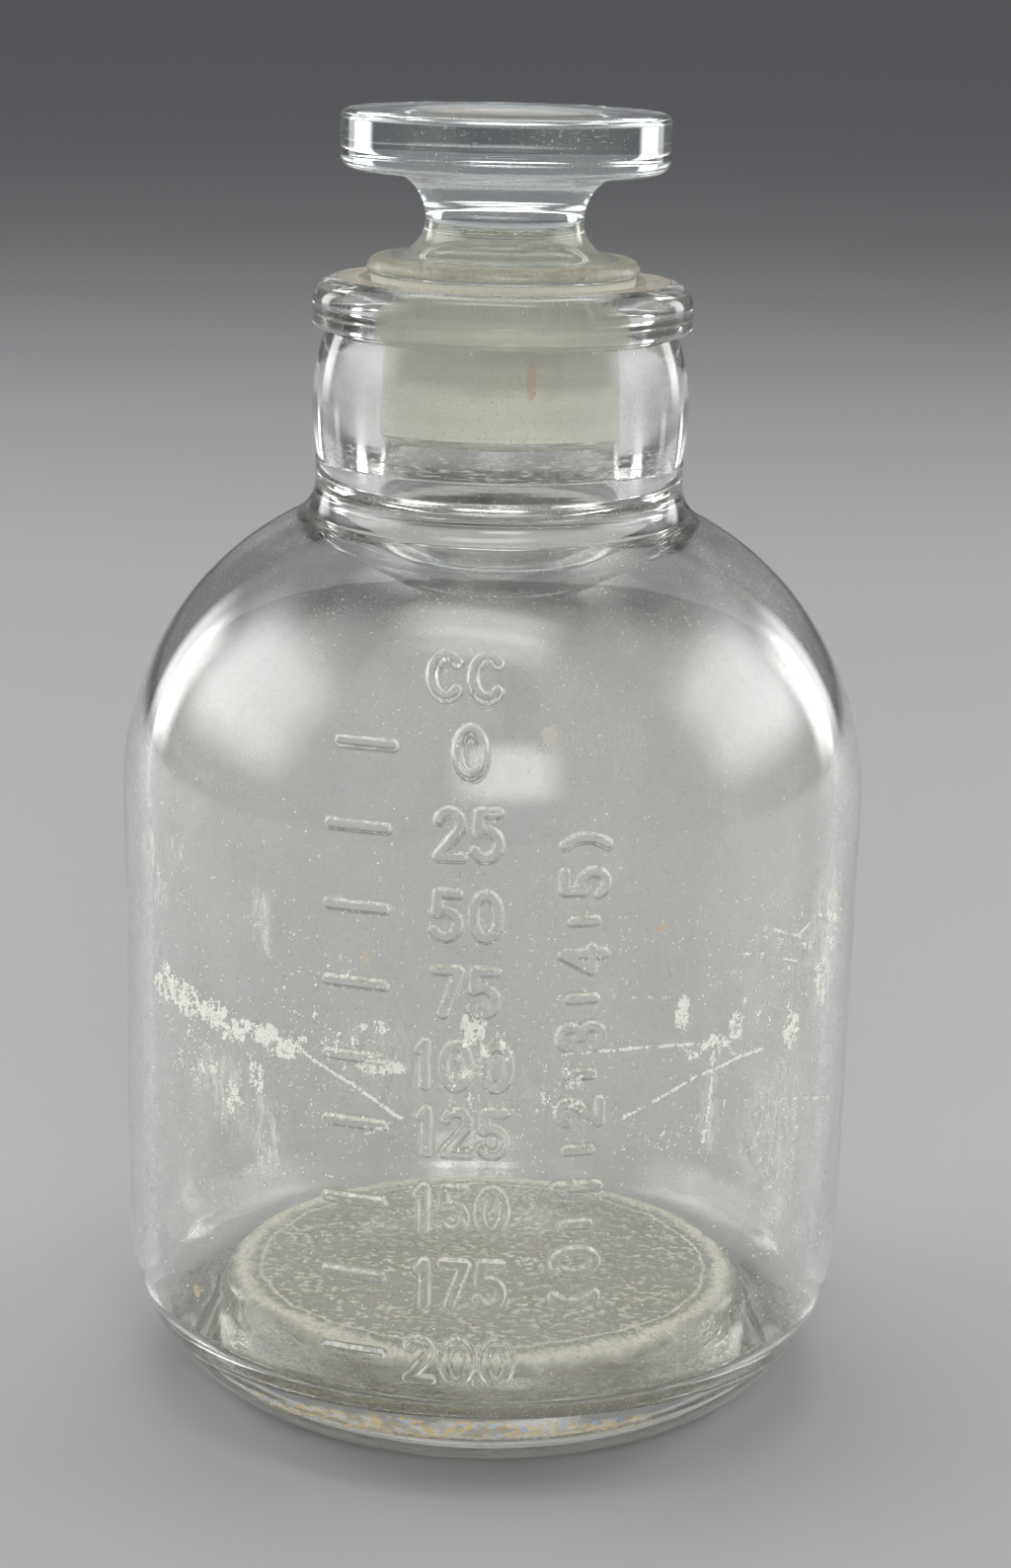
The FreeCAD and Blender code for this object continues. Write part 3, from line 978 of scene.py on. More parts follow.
@dataclass(frozen=True)
class SeatGlass(Finish):
    """The taper in the neck, worn smooth enough to see through, with bright turning marks under the plug.

    Attributes:
        tint: Colour that the glass leaves in light that passes through a wall.
        streak: Colour of the turning marks.
        low: Height at which they begin, in millimetres.
        high: Height at which they end.
        fade_in: Height over which they grow strong.
        fade_out: Height over which they end.
        cover: How much of the glass the strongest marks hide.
        rings, marks: The noises that shape the surface and the marks.
    """

    tint: Colour = (0.98, 0.982, 0.965)
    streak: Colour = (0.93, 0.92, 0.85)
    low: float = 90.8
    high: float = 94.6
    fade_in: float = 2.0
    fade_out: float = 0.4
    cover: float = 0.75
    rings: Grain = Grain(0.5, 3.0, stretch=TURNED)
    marks: Grain = Grain(0.22, 4.0, 0.65, (0.16, 0.16, 1.0), (0.50, 0.62))

    def shader(self, nodes: Nodes) -> Socket:
        """Adds the glass and its turning marks.

        Args:
            nodes: The material's nodes.

        Returns:
            The shader.
        """
        glass = nodes.glass(self.tint, 0.06, nodes.bump(nodes.noise(self.rings), depth=0.01))
        height = nodes.height()
        begun = nodes.above(height, self.low, self.low + self.fade_in)
        ended = nodes.above(height, self.high - self.fade_out, self.high)
        share = nodes.math("SUBTRACT", begun, ended)
        cover = nodes.product(nodes.eased(self.marks), share, self.cover)
        return nodes.mixed(cover, glass, nodes.coat(self.streak, roughness=0.7))


@dataclass(frozen=True)
class GroundGlass(Finish):
    """Glass ground matt, with fine turning scratches round it, and paler where it doesn't touch its seat.

    Attributes:
        pale: Colour of the paler end.
        grey: Colour of the end that is pressed into the seat.
        rust: Colour of a rusty stain at the front.
        change: Height at which pale begins to turn grey, in millimetres.
        blend: Height over which it turns.
        waver: How far that line wanders up and down.
        banding: Brightness in the scratches, and beside them.
        clear: Share of the light that it lets in.
        stain: Place of the stain.
        rings, grit, wander, fraying: The noises of the scratches, the grain, that line and the stain's edge.
    """

    pale: Colour = (0.98, 0.97, 0.86)
    grey: Colour = (0.70, 0.69, 0.60)
    rust: Colour = (0.72, 0.50, 0.25)
    change: float = 100.0
    blend: float = 1.6
    waver: float = 2.4
    banding: Point = (0.86, 1.16)
    clear: float = 0.08
    stain: Spot = Spot(12.0, 100.8, 11.9, (0.45, 1.8), 0.6)
    rings: Grain = Grain(0.6, 4.0, stretch=TURNED)
    grit: Grain = Grain(0.14)
    wander: Grain = Grain(6.0, 3.0)
    fraying: Grain = Grain(1.0, 4.0)

    def shader(self, nodes: Nodes) -> Socket:
        """Adds the ground surface, banded by its scratches.

        Args:
            nodes: The material's nodes.

        Returns:
            The shader.
        """
        rings = nodes.noise(self.rings)
        relief = nodes.math("MULTIPLY_ADD", rings, 0.5, nodes.noise(self.grit))
        wavy = nodes.math("MULTIPLY_ADD", nodes.noise(self.wander), self.waver, nodes.height())
        share = nodes.above(wavy, self.change, self.change + self.blend)
        rust = nodes.spot(self.stain, nodes.noise(self.fraying))
        tone = nodes.tone(rust, nodes.tone(share, self.pale, self.grey), self.rust)
        banded = nodes.add("HueSaturation", Value=nodes.ranged(rings, *self.banding), Color=tone)
        return nodes.glass(banded.outputs[0], 0.6, nodes.bump(relief, depth=0.05), self.clear)


@dataclass(frozen=True)
class StippledGlass(Finish):
    """Glass with a fine crinkled surface and grime in its hollows, under the base.

    Attributes:
        tint: Colour that the glass leaves in light that passes through a wall.
        grime: Colour of thin grime.
        dark: Colour of thick grime.
        cover: How much the grime hides where it is thickest.
        crinkles, clots: The noises that shape the surface, and the thick grime.
    """

    tint: Colour = (0.975, 0.98, 0.96)
    grime: Colour = (0.86, 0.78, 0.56)
    dark: Colour = (0.55, 0.50, 0.38)
    cover: float = 0.75
    crinkles: Grain = Grain(0.8, 3.0, band=(0.40, 0.62))
    clots: Grain = Grain(1.6, 3.0, band=(0.4, 0.65))

    def shader(self, nodes: Nodes) -> Socket:
        """Adds the glass and the grime in its hollows.

        Args:
            nodes: The material's nodes.

        Returns:
            The shader.
        """
        crinkles = nodes.noise(self.crinkles)
        glass = nodes.glass(self.tint, 0.12, nodes.bump(crinkles, depth=0.12))
        grime = nodes.coat(nodes.tone(nodes.eased(self.clots), self.grime, self.dark), roughness=0.8)
        cover = nodes.product(nodes.above(crinkles, *self.crinkles.band), self.cover)
        return nodes.mixed(cover, glass, grime)


@dataclass(frozen=True)
class FloorGlass(Finish):
    """The inner floor: a crinkled disc inside two bright cream rings of painted light, where light gathers in
    the thick floor.

    Attributes:
        disc: Radius of the crinkled disc, in millimetres.
        fade: Width over which it ends.
        waver: How far the rings and the disc's edge wander in and out.
        rings: Radius, half-width and strength of each painted light ring.
        crumbling: Cover of the rings where they are thin, and where they are thick.
        haze: Cover on the disc's bumps, and between them.
        clouding: Share of that cover where the disc is clear, and where it is cloudy.
        cream: Colour of the painted light rings and of the disc's bumps.
        tint: Colour that the glass leaves in light that passes through it.
        wander, crumbs, pebbles, clouds: The noises that shape all these.
    """

    disc: float = 23.0
    fade: float = 2.0
    waver: float = 2.0
    rings: tuple[Place, ...] = ((24.2, 2.0, 1.15), (22.3, 0.5, 0.9))
    crumbling: Point = (0.1, 1.7)
    haze: Point = (0.75, 0.34)
    clouding: Point = (0.7, 1.0)
    cream: Colour = (0.94, 0.91, 0.79)
    tint: Colour = (0.985, 0.985, 0.965)
    wander: Grain = Grain(4.0, 4.0, 0.65)
    crumbs: Grain = Grain(0.5, 3.0, 0.7)
    pebbles: Grain = Grain(0.75, 1.5, band=(0.42, 0.66))
    clouds: Grain = Grain(9.0, 3.0, band=(0.4, 0.6))

    def shader(self, nodes: Nodes) -> Socket:
        """Adds the floor's glass, painted light rings and crinkled disc.

        Args:
            nodes: The material's nodes.

        Returns:
            The shader.
        """
        radius = nodes.math("SUBTRACT", nodes.radius(), self.waver / 2)
        wavy = nodes.math("MULTIPLY_ADD", nodes.noise(self.wander), self.waver, radius)
        crumbs = nodes.ranged(nodes.noise(self.crumbs), *self.crumbling)
        # Painted light: bright cream rings where light gathers in the thick floor, broken up by crumbs.
        painted_light_rings = []
        for middle, half, strength in self.rings:
            away = nodes.math("ABSOLUTE", nodes.math("SUBTRACT", wavy, middle))
            painted_light_rings.append(nodes.product(nodes.below(away, 0.0, half), crumbs, strength))
        inside = nodes.below(wavy, self.disc, self.disc + self.fade)
        pebbles = nodes.noise(self.pebbles)
        tops = nodes.product(nodes.above(pebbles, *self.pebbles.band), self.haze[0])
        bumps = nodes.product(inside, tops, nodes.ranged(nodes.eased(self.clouds), *self.clouding))
        cover = nodes.largest(*painted_light_rings, bumps, nodes.product(inside, self.haze[1]))
        glass = nodes.glass(self.tint, 0.03, nodes.bump(nodes.product(inside, pebbles), depth=0.6))
        cake = nodes.coat(self.cream, 0.9, nodes.bump(pebbles, depth=0.4))
        return nodes.mixed(cover, glass, cake)


@dataclass(frozen=True)
class DustyGlass(Finish):
    """Glass under caked dust, cream with brown crumbs.

    Attributes:
        tint: Colour that the glass leaves in light that passes through a wall.
        pale: Colour of the dust.
        dark: Colour of the crumbs.
        cover: How much the dust hides where it is thickest.
        crumbs, patches: The noises that shape the crumbs, and the dust's patches.
    """

    tint: Colour = (0.95, 0.96, 0.93)
    pale: Colour = (0.84, 0.80, 0.67)
    dark: Colour = (0.42, 0.32, 0.18)
    cover: float = 0.75
    crumbs: Grain = Grain(0.35, 4.0, 0.7, band=(0.35, 0.7))
    patches: Grain = Grain(0.5, 4.0, 0.65, band=(0.36, 0.60))

    def shader(self, nodes: Nodes) -> Socket:
        """Adds the glass and the dust on it.

        Args:
            nodes: The material's nodes.

        Returns:
            The shader.
        """
        crumbs = nodes.noise(self.crumbs)
        colour = nodes.tone(nodes.above(crumbs, *self.crumbs.band), self.dark, self.pale)
        cake = nodes.coat(colour, 0.9, nodes.bump(crumbs, depth=0.15))
        glass = nodes.glass(self.tint, roughness=0.3)
        return nodes.mixed(nodes.product(nodes.eased(self.patches), self.cover), glass, cake)


@dataclass(frozen=True)
class Crusted(Finish):
    """Cream mineral crust, grainy and matt.

    Attributes:
        pale: Colour of most of it.
        dull: Colour of its duller grains.
        grains: The noise that shapes them.
    """

    pale: Colour = (0.95, 0.94, 0.87)
    dull: Colour = (0.80, 0.78, 0.69)
    grains: Grain = Grain(0.25, 3.0, band=(0.3, 0.6))

    def shader(self, nodes: Nodes) -> Socket:
        """Adds the crust.

        Args:
            nodes: The material's nodes.

        Returns:
            The shader.
        """
        grains = nodes.noise(self.grains)
        colour = nodes.tone(nodes.above(grains, *self.grains.band), self.dull, self.pale)
        return nodes.coat(colour, 0.85, nodes.bump(grains, depth=0.04))


@dataclass(frozen=True)
class Paper(Finish):
    """Plain backdrop paper.

    Attributes:
        colour: Its colour.
        fibres: The noise that roughens it.
    """

    colour: Colour = (0.38, 0.38, 0.385)
    fibres: Grain = Grain(2.0, 4.0)

    def shader(self, nodes: Nodes) -> Socket:
        """Adds the paper and returns its shader."""
        return nodes.coat(self.colour, 0.6, nodes.bump(nodes.noise(self.fibres), depth=0.01))


def dress(piece: Piece, *finishes: Finish) -> None:
    """Gives a piece its finishes, one to a material slot."""
    for finish in finishes:
        piece.data.materials.append(finish.material())


@dataclass
class Bottle:
    """The bottle: one turned glass wall with its raised graduation. Sizes in millimetres.

    Heights are measured from the ground, and wall, floor, seat and bore are the inside's sizes.

    Attributes:
        root_margin: How far below the root of the neck the relief's wall ends.
        fineness: How much finer the outline is that the relief is measured on.
        fine_steps: Margin round the figures, and cuts, of each round that makes their cells finer.
        probe: Distance over which the relief's slope is measured.
        edge_start: Steepness of the relief at which the painted highlight on its edges begins, as a share of
            the most.
        edge_fade: Steepness over which that painted highlight grows full.
        films: Where dried water dulls the glass.
        flecks: Rusty flecks.
        golden: Parts of the mottled strip on the heel.
        skin: How near to the outline a point counts as on the outside.
    """

    body: float = 72.0
    body_base: float = 70.8
    heel_height: float = 16.2
    heel_radius: float = 18.0
    corner_radius: float = 5.0
    ring_width: float = 1.0
    recess_depth: float = 2.5
    recess_slope: float = 1.5
    shoulder_height: float = 60.0
    shoulder_radius: float = 29.8
    neck_root: float = 35.3
    root_fillet: float = 4.0
    root_length: float = 2.2
    neck_seam: float = 34.9
    neck_top: float = 33.3
    barrel_length: float = 12.3
    barrel_radius: float = 20.5
    lip: float = 36.2
    lip_thickness: float = 4.7
    lip_lower: float = 0.7
    lip_upper: float = 2.2
    wall: float = 2.6
    floor: float = 7.3
    floor_corner: float = 3.5
    floor_rise: float = 3.5
    rise_edge: float = 1.5
    inner_shoulder: float = 26.2
    bore_corner: float = 5.0
    seat: float = 25.2
    seat_taper: float = 7.0
    seat_length: float = 16.0
    mouth: float = 27.4
    mouth_bevel: float = 0.9
    root_margin: float = 2.0
    fineness: float = 12.0
    fine_steps: tuple[tuple[float, int], ...] = ((0.8, 2), (0.26, 2))
    probe: float = 0.04
    edge_start: float = 0.35
    edge_fade: float = 0.5
    graduation: Graduation = field(default_factory=Graduation)
    films: tuple[Spot, ...] = (
        Spot(-34.9, 53.9, 36.0, (1.3, 3.0), 0.75),
        Spot(-62.5, 57.0, 36.0, (2.0, 2.4), 0.6),
        Spot(-53.5, 58.1, 36.0, (1.8, 1.8), 0.5),
        Spot(-59.7, 53.6, 36.0, (1.8, 3.0), 0.5),
        Spot(-34.4, 33.6, 35.6, (2.2, 4.5), 0.55),
        Spot(-44.0, 37.0, 35.7, (4.0, 4.0), 0.45),
        Spot(-16.0, 42.5, 35.8, (6.0, 5.0), 0.25),
        Spot(2.0, 40.0, 35.8, (6.0, 5.0), 0.22),
        Spot(35.5, 36.6, 35.7, (1.0, 4.5), 0.6),
        Spot(62.0, 50.0, 36.0, (4.0, 9.0), 0.45),
        Spot(50.0, 33.0, 35.6, (6.0, 8.0), 0.35),
    )
    flecks: tuple[Spot, ...] = (
        Spot(-17.8, 52.0, 36.0, (0.5, 0.9), 0.6),
        Spot(25.3, 54.8, 36.0, (0.8, 0.5), 0.75),
        Spot(-49.7, 15.5, 35.4, (0.6, 0.6), 0.7),
        Spot(8.6, 72.4, 33.3, (0.7, 1.1), 0.45),
    )
    golden: tuple[Spot, ...] = (
        Spot(-36.0, 5.3, 31.7, (5.5, 1.1), 0.85),
        Spot(-25.0, 5.6, 32.0, (5.5, 1.4), 1.0),
        Spot(-13.0, 5.8, 32.1, (5.5, 1.5), 1.0),
        Spot(-1.0, 5.9, 32.2, (5.5, 1.5), 1.0),
        Spot(11.0, 5.8, 32.1, (5.5, 1.4), 0.95),
        Spot(23.0, 5.6, 32.0, (5.0, 1.2), 0.8),
    )

    def __post_init__(self) -> None:
        """Works out what several outlines and methods share."""
        shoulder_centre = self.body / 2 - self.shoulder_radius
        bend = self.shoulder_radius + self.root_fillet
        run = self.neck_root / 2 + self.root_fillet - shoulder_centre
        rise = math.sqrt(bend ** 2 - run ** 2)
        share = self.shoulder_radius / bend
        self.root_joint = (shoulder_centre + run * share, self.shoulder_height + rise * share)
        self.root_top = self.shoulder_height + rise
        self.seam_height = self.root_top + self.root_length
        self.lip_bottom = self.seam_height + self.barrel_length
        self.lip_top = self.lip_bottom + self.lip_thickness
        self.section = self.draw()
        fine = self.draw(self.fineness)
        outside = slice(0, int(np.argmax(fine.heights > self.root_top)))
        self.outer_heights = fine.heights[outside]
        self.outer_radii = fine.radii[outside]
        self.outer_normals = np.array(fine.normals)[outside]
        steps = np.hypot(np.diff(self.outer_heights), np.diff(self.outer_radii))
        path = np.concatenate([[0.0], np.cumsum(steps)])
        self.outer_path = path - np.interp(self.heel_height, self.outer_heights, path) + self.heel_height
        self.strokes = self.graduation.strokes(self.along, self.glass_radius)
        self.skin = self.wall / 4

    def seat_radius(self, height: float) -> float:
        """Radius of the ground taper at a height."""
        return self.seat / 2 - (self.lip_top - height) / 2 / self.seat_taper

    def glass_radius(self, height: float) -> float:
        """Outer radius of the body at a height."""
        return float(np.interp(height, self.outer_heights, self.outer_radii))

    def along(self, height: float) -> float:
        """Place of a height along the outer wall."""
        return float(np.interp(height, self.outer_heights, self.outer_path))

    def draw(self, fineness: float = 1.0) -> Section:
        """Draws the whole section, from under the base, up the outside and down the inside.

        Args:
            fineness: Divides the distance between rows.

        Returns:
            The section.
        """
        heel_centre = self.body_base / 2 - self.heel_radius
        bend = self.heel_radius - self.corner_radius
        drop = self.heel_height - self.corner_radius
        run = math.sqrt(bend ** 2 - drop ** 2)
        share = self.heel_radius / bend
        ring_outside = heel_centre + run
        ring_inside = ring_outside - self.ring_width
        lip = self.lip / 2
        bevel_bottom = self.lip_top - self.mouth_bevel
        seat_bottom = self.lip_top - self.seat_length
        bore = self.seat_radius(seat_bottom)
        inner_low = self.body_base / 2 - self.wall
        inner_top = self.body / 2 - self.wall
        dome_centre = inner_top - self.inner_shoulder
        bore_bend = self.inner_shoulder + self.bore_corner
        bore_run = bore + self.bore_corner - dome_centre
        bore_rise = math.sqrt(bore_bend ** 2 - bore_run ** 2)
        bore_share = self.inner_shoulder / bore_bend
        slope = (inner_top - inner_low) / (self.shoulder_height - self.heel_height)
        corner_top = self.floor + self.floor_corner
        corner_radius = inner_low + (corner_top - self.heel_height) * slope
        trough = corner_radius - self.floor_corner
        rise_top = self.floor + self.floor_rise
        rise_drop = corner_top - (rise_top - self.rise_edge)
        rise_bend = self.floor_corner + self.rise_edge
        rise_run = math.sqrt(rise_bend ** 2 - rise_drop ** 2)
        rise_share = self.floor_corner / rise_bend
        left, right, floor, dusty = Turn.LEFT, Turn.RIGHT, Zone.FLOOR, Zone.DUSTY
        base = [
            line(ring_inside - self.recess_slope, self.recess_depth, step=0.95, soft=0.3, zone=Zone.STIPPLED),
            line(ring_inside, 0.0, step=0.5, soft=0.2, zone=Zone.STIPPLED),
            line(ring_outside, 0.0, step=0.5, zone=Zone.STIPPLED),
        ]
        outside = [
            arc(heel_centre + run * share, self.heel_height - drop * share, left, self.corner_radius, 0.6),
            arc(self.body_base / 2, self.heel_height, left, self.heel_radius, 0.7),
            line(self.body / 2, self.shoulder_height),
            arc(*self.root_joint, left, self.shoulder_radius, 1.0),
            arc(self.neck_root / 2, self.root_top, right, self.root_fillet, 0.5),
            line(self.neck_root / 2, self.seam_height, soft=0.12),
            line(self.neck_seam / 2, self.seam_height, soft=0.05),
            arc(self.neck_top / 2, self.lip_bottom, left, self.barrel_radius, 0.8, soft=0.25),
        ]
        mouth = [
            line(lip - self.lip_lower, self.lip_bottom),
            arc(lip, self.lip_bottom + self.lip_lower, left, self.lip_lower, 0.25),
            line(lip, self.lip_top - self.lip_upper),
            arc(lip - self.lip_upper, self.lip_top, left, self.lip_upper, 0.35),
            line(self.mouth / 2, self.lip_top, step=0.5, soft=0.15, zone=dusty),
            line(self.seat_radius(bevel_bottom), bevel_bottom, step=0.5, soft=0.1, zone=dusty),
        ]
        inside = [
            line(bore, seat_bottom, soft=0.3, zone=Zone.GROUND),
            line(bore, self.shoulder_height + bore_rise, zone=Zone.GROUND),
            arc(dome_centre + bore_run * bore_share, self.shoulder_height + bore_rise * bore_share,
                right, self.bore_corner, 0.5),
            arc(inner_top, self.shoulder_height, right, self.inner_shoulder, 1.2),
            line(corner_radius, corner_top, step=2.4),
            arc(trough, self.floor, right, self.floor_corner, 0.5),
            arc(trough - rise_run * rise_share, corner_top - rise_drop * rise_share,
                right, self.floor_corner, 0.5, zone=floor),
            arc(trough - rise_run, rise_top, left, self.rise_edge, 0.4, zone=floor),
            line(0.0, rise_top, step=2.4, zone=floor),
        ]
        return Section((0.0, self.recess_depth), base + outside + mouth + inside, fineness)

    def on_wall(self, points: np.ndarray) -> np.ndarray:
        """Finds the points on the outside of the body, between the heel and the root of the neck.

        Args:
            points: Places, in millimetres.

        Returns:
            True for each point that lies there.
        """
        height = points[:, 2]
        near = np.abs(radii(points) - np.interp(height, self.outer_heights, self.outer_radii)) < self.skin
        return near & (height > self.heel_height / 2) & (height < self.root_joint[1] - self.root_margin)

    def surface(self, points: np.ndarray) -> np.ndarray:
        """Finds the place of each point on the wall.

        Args:
            points: Places, in millimetres.

        Returns:
            Its u and v, a row each.
        """
        radius = np.interp(points[:, 2], self.outer_heights, self.outer_radii)
        path = np.interp(points[:, 2], self.outer_heights, self.outer_path)
        return np.c_[angles(points) * radius, path]

    def refine(self, piece: Piece) -> None:
        """Cuts the faces near the figures into fine cells, and sets the new points on the true wall.

        Args:
            piece: The turned bottle.
        """
        for margin, cuts in self.fine_steps:
            middles = face_middles(piece)
            near = self.on_wall(middles)
            away = distance_to(self.surface(middles[near]), self.strokes)
            near[near] = away < self.graduation.reach + margin
            pick_faces(piece, near)
            bpy.ops.mesh.subdivide(number_cuts=cuts)
            bpy.ops.mesh.select_all(action="DESELECT")
            bpy.ops.object.mode_set(mode="OBJECT")
        points = places(piece)
        wall = self.on_wall(points)
        true = np.interp(points[wall, 2], self.outer_heights, self.outer_radii)
        points[wall, :2] *= (true / radii(points[wall]))[:, None]
        put_places(piece, points)

    def relief(self, points: np.ndarray) -> np.ndarray:
        """Height of the raised figures at points on the surface, from 0 to 1."""
        marks = self.graduation
        return smoothstep((marks.reach - distance_to(points, self.strokes)) / (marks.reach - marks.flat))

    def raise_figures(self, piece: Piece) -> np.ndarray:
        """Raises the strokes with a displacement weighted by each point's distance from them.

        Args:
            piece: The bottle.

        Returns:
            Slope of the relief along u and v at every vertex.
        """
        points = places(piece)
        slope = np.zeros((len(points), 2))
        wall = np.flatnonzero(self.on_wall(points))
        surface = self.surface(points[wall])
        near = distance_to(surface, self.strokes) < self.graduation.reach
        wall, surface = wall[near], surface[near]
        for axis in range(2):
            offset = np.zeros(2)
            offset[axis] = self.probe
            climb = self.relief(surface + offset) - self.relief(surface - offset)
            slope[wall, axis] = climb / (2 * self.probe) * self.graduation.rise
        group = piece.vertex_groups.new(name="figures")
        for index, value in zip(wall.tolist(), self.relief(surface).tolist()):
            group.add([index], value, "REPLACE")
        lift = piece.modifiers.new("figures", "DISPLACE")
        lift.vertex_group = group.name
        lift.mid_level = 0.0
        lift.strength = self.graduation.rise * MM
        bpy.ops.object.modifier_apply(modifier=lift.name)
        piece.vertex_groups.clear()
        return slope

    def give_normals(self, piece: Piece, slope: np.ndarray) -> None:
        """Gives the bottle the exact normals of its section, tilted by the relief.

        Args:
            piece: The bottle.
            slope: Slope of the relief along u and v at every vertex.
        """
        points = places(piece)
        flat = Lathe.section_normals(points, self.section)
        wall = self.on_wall(points)
        for axis in range(2):
            flat[wall, axis] = np.interp(points[wall, 2], self.outer_heights, self.outer_normals[:, axis])
        Lathe.give_normals(piece, flat, slope)

    def spread(self, points: np.ndarray, spots: Sequence[Spot]) -> np.ndarray:
        """Works out how much of the outer glass some spots cover.

        Args:
            points: Vertex positions, in millimetres.
            spots: The spots.

        Returns:
            Cover at each point, from 0 to 1.
        """
        cover = np.zeros(len(points))
        for spot in spots:
            away = np.linalg.norm((points - spot.middle) / spot.size, axis=1)
            share = smoothstep((spot.rim - away) / (spot.rim - spot.core))
            cover = np.maximum(cover, spot.strength * share)
        outer = np.interp(points[:, 2], self.outer_heights, self.outer_radii)
        return np.where(radii(points) > outer - self.skin, cover, 0.0)

    def paint(self, piece: Piece, slope: np.ndarray) -> None:
        """Paints the films that the clear glass shows, and its painted highlight along the relief's edges.

        Args:
            piece: The bottle.
            slope: Slope of the relief along u and v at every vertex.
        """
        points = places(piece)
        steep = np.hypot(slope[:, 0], slope[:, 1])
        layers = {
            # Painted highlight along the relief's steepest edges.
            "edge_highlight": smoothstep((steep / steep.max() - self.edge_start) / self.edge_fade),
            "film": self.spread(points, self.films),
            "gold": self.spread(points, self.golden),
        }
        for name, values in layers.items():
            piece.data.attributes.new(name, "FLOAT", "POINT").data.foreach_set("value", values)

    def build(self) -> Piece:
        """Models the bottle and returns the finished piece."""
        piece = Lathe.turn("bottle_glass", self.section)
        self.refine(piece)
        slope = self.raise_figures(piece)
        self.give_normals(piece, slope)
        self.paint(piece, slope)
        dress(
            piece,
            ClearGlass("bottle_clear", (0.972, 0.980, 0.955), flecks=self.flecks),
            SeatGlass("neck_seat"),
            DustyGlass("mouth_dust"),
            StippledGlass("base_stipple"),
            FloorGlass("inner_floor"),
        )
        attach(piece, "root")
        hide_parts("bottle")
        return piece


@dataclass
class Stopper:
    """The flat-headed stopper with its ground plug. Sizes in millimetres."""

    bottle: Bottle
    clearance: float = 0.05
    plug_length: float = 14.5
    plug_end: float = 0.8
    collar: float = 25.9
    collar_lift: float = 0.5
    collar_thickness: float = 1.6
    collar_lower: float = 0.3
    collar_upper: float = 1.2
    stem: float = 15.0
    waist_lower: float = 3.5
    waist_upper: float = 4.5
    head: float = 31.2
    head_thickness: float = 5.6
    head_lower: float = 1.4
    head_upper: float = 0.9
    recess: float = 18.4
    recess_depth: float = 0.35

    def draw(self) -> Section:
        """Draws the section, from the middle of the plug's end to the middle of the head's top."""
        lip_top = self.bottle.lip_top
        plug_bottom = lip_top - self.plug_length
        plug_corner = plug_bottom + self.plug_end
        plug = self.bottle.seat_radius(plug_corner) - self.clearance
        collar_bottom = lip_top + self.collar_lift
        plug_top = self.bottle.seat_radius(collar_bottom) - self.clearance
        collar_top = collar_bottom + self.collar_thickness
        waist = collar_top + self.waist_lower
        head_bottom = waist + self.waist_upper
        head_top = head_bottom + self.head_thickness
        collar, stem, head, recess = self.collar / 2, self.stem / 2, self.head / 2, self.recess / 2
        left, right, powdered = Turn.LEFT, Turn.RIGHT, Zone.STIPPLED
        return Section((0.0, plug_bottom), [
            line(plug - self.plug_end, plug_bottom),
            arc(plug, plug_corner, left, self.plug_end, 0.2),
            line(plug_top, collar_bottom, soft=0.1, zone=Zone.GROUND),
            line(collar - self.collar_lower, collar_bottom, step=0.5, zone=Zone.DUSTY),
            arc(collar, collar_bottom + self.collar_lower, left, self.collar_lower, 0.15),
            line(collar, collar_top - self.collar_upper),
            arc(collar - self.collar_upper, collar_top, left, self.collar_upper, 0.25, zone=powdered),
            line(stem + self.waist_lower, collar_top, zone=powdered),
            arc(stem, waist, right, self.waist_lower, 0.35),
            arc(stem + self.waist_upper, head_bottom, right, self.waist_upper, 0.35),
            line(head - self.head_lower, head_bottom),
            arc(head, head_bottom + self.head_lower, left, self.head_lower, 0.25),
            line(head, head_top - self.head_upper),
            arc(head - self.head_upper, head_top, left, self.head_upper, 0.2),
            line(recess, head_top, soft=0.1),
            line(recess - self.recess_depth, head_top - self.recess_depth, soft=0.2),
            line(0.0, head_top - self.recess_depth, step=0.9, zone=powdered),
        ])

    def build(self) -> Piece:
        """Models the stopper and returns the finished piece."""
        section = self.draw()
        piece = Lathe.turn("stopper_glass", section)
        Lathe.give_normals(piece, Lathe.section_normals(places(piece), section))
        dress(
            piece,
            ClearGlass("stopper_clear", (0.915, 0.972, 0.978), speckle=0.7, haze=0.07),
            GroundGlass("stopper_ground"),
            DustyGlass("collar_dust"),
            DustyGlass("head_dust", cover=0.42),
        )
        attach(piece, "root")
        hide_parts("stopper")
        return piece


@dataclass(frozen=True)
class Patch:
    """A patch where the crust is thick.

    Attributes:
        place: Its middle on the glass, u and height, in millimetres.
        size: How far it reaches along u and upwards.
        strength: How much of it is covered, from 0 to 1.
    """

    place: Point
    size: Point
    strength: float


@dataclass(frozen=True)
class Trail:
    """A broken line of crust along a scratch.

    Attributes:
        points: Its corners on the glass, u and height, in millimetres.
        width: How far it reaches to each side.
        strength: How much of it is covered, from 0 to 1.
    """

    points: tuple[Point, ...]
    width: float
    strength: float


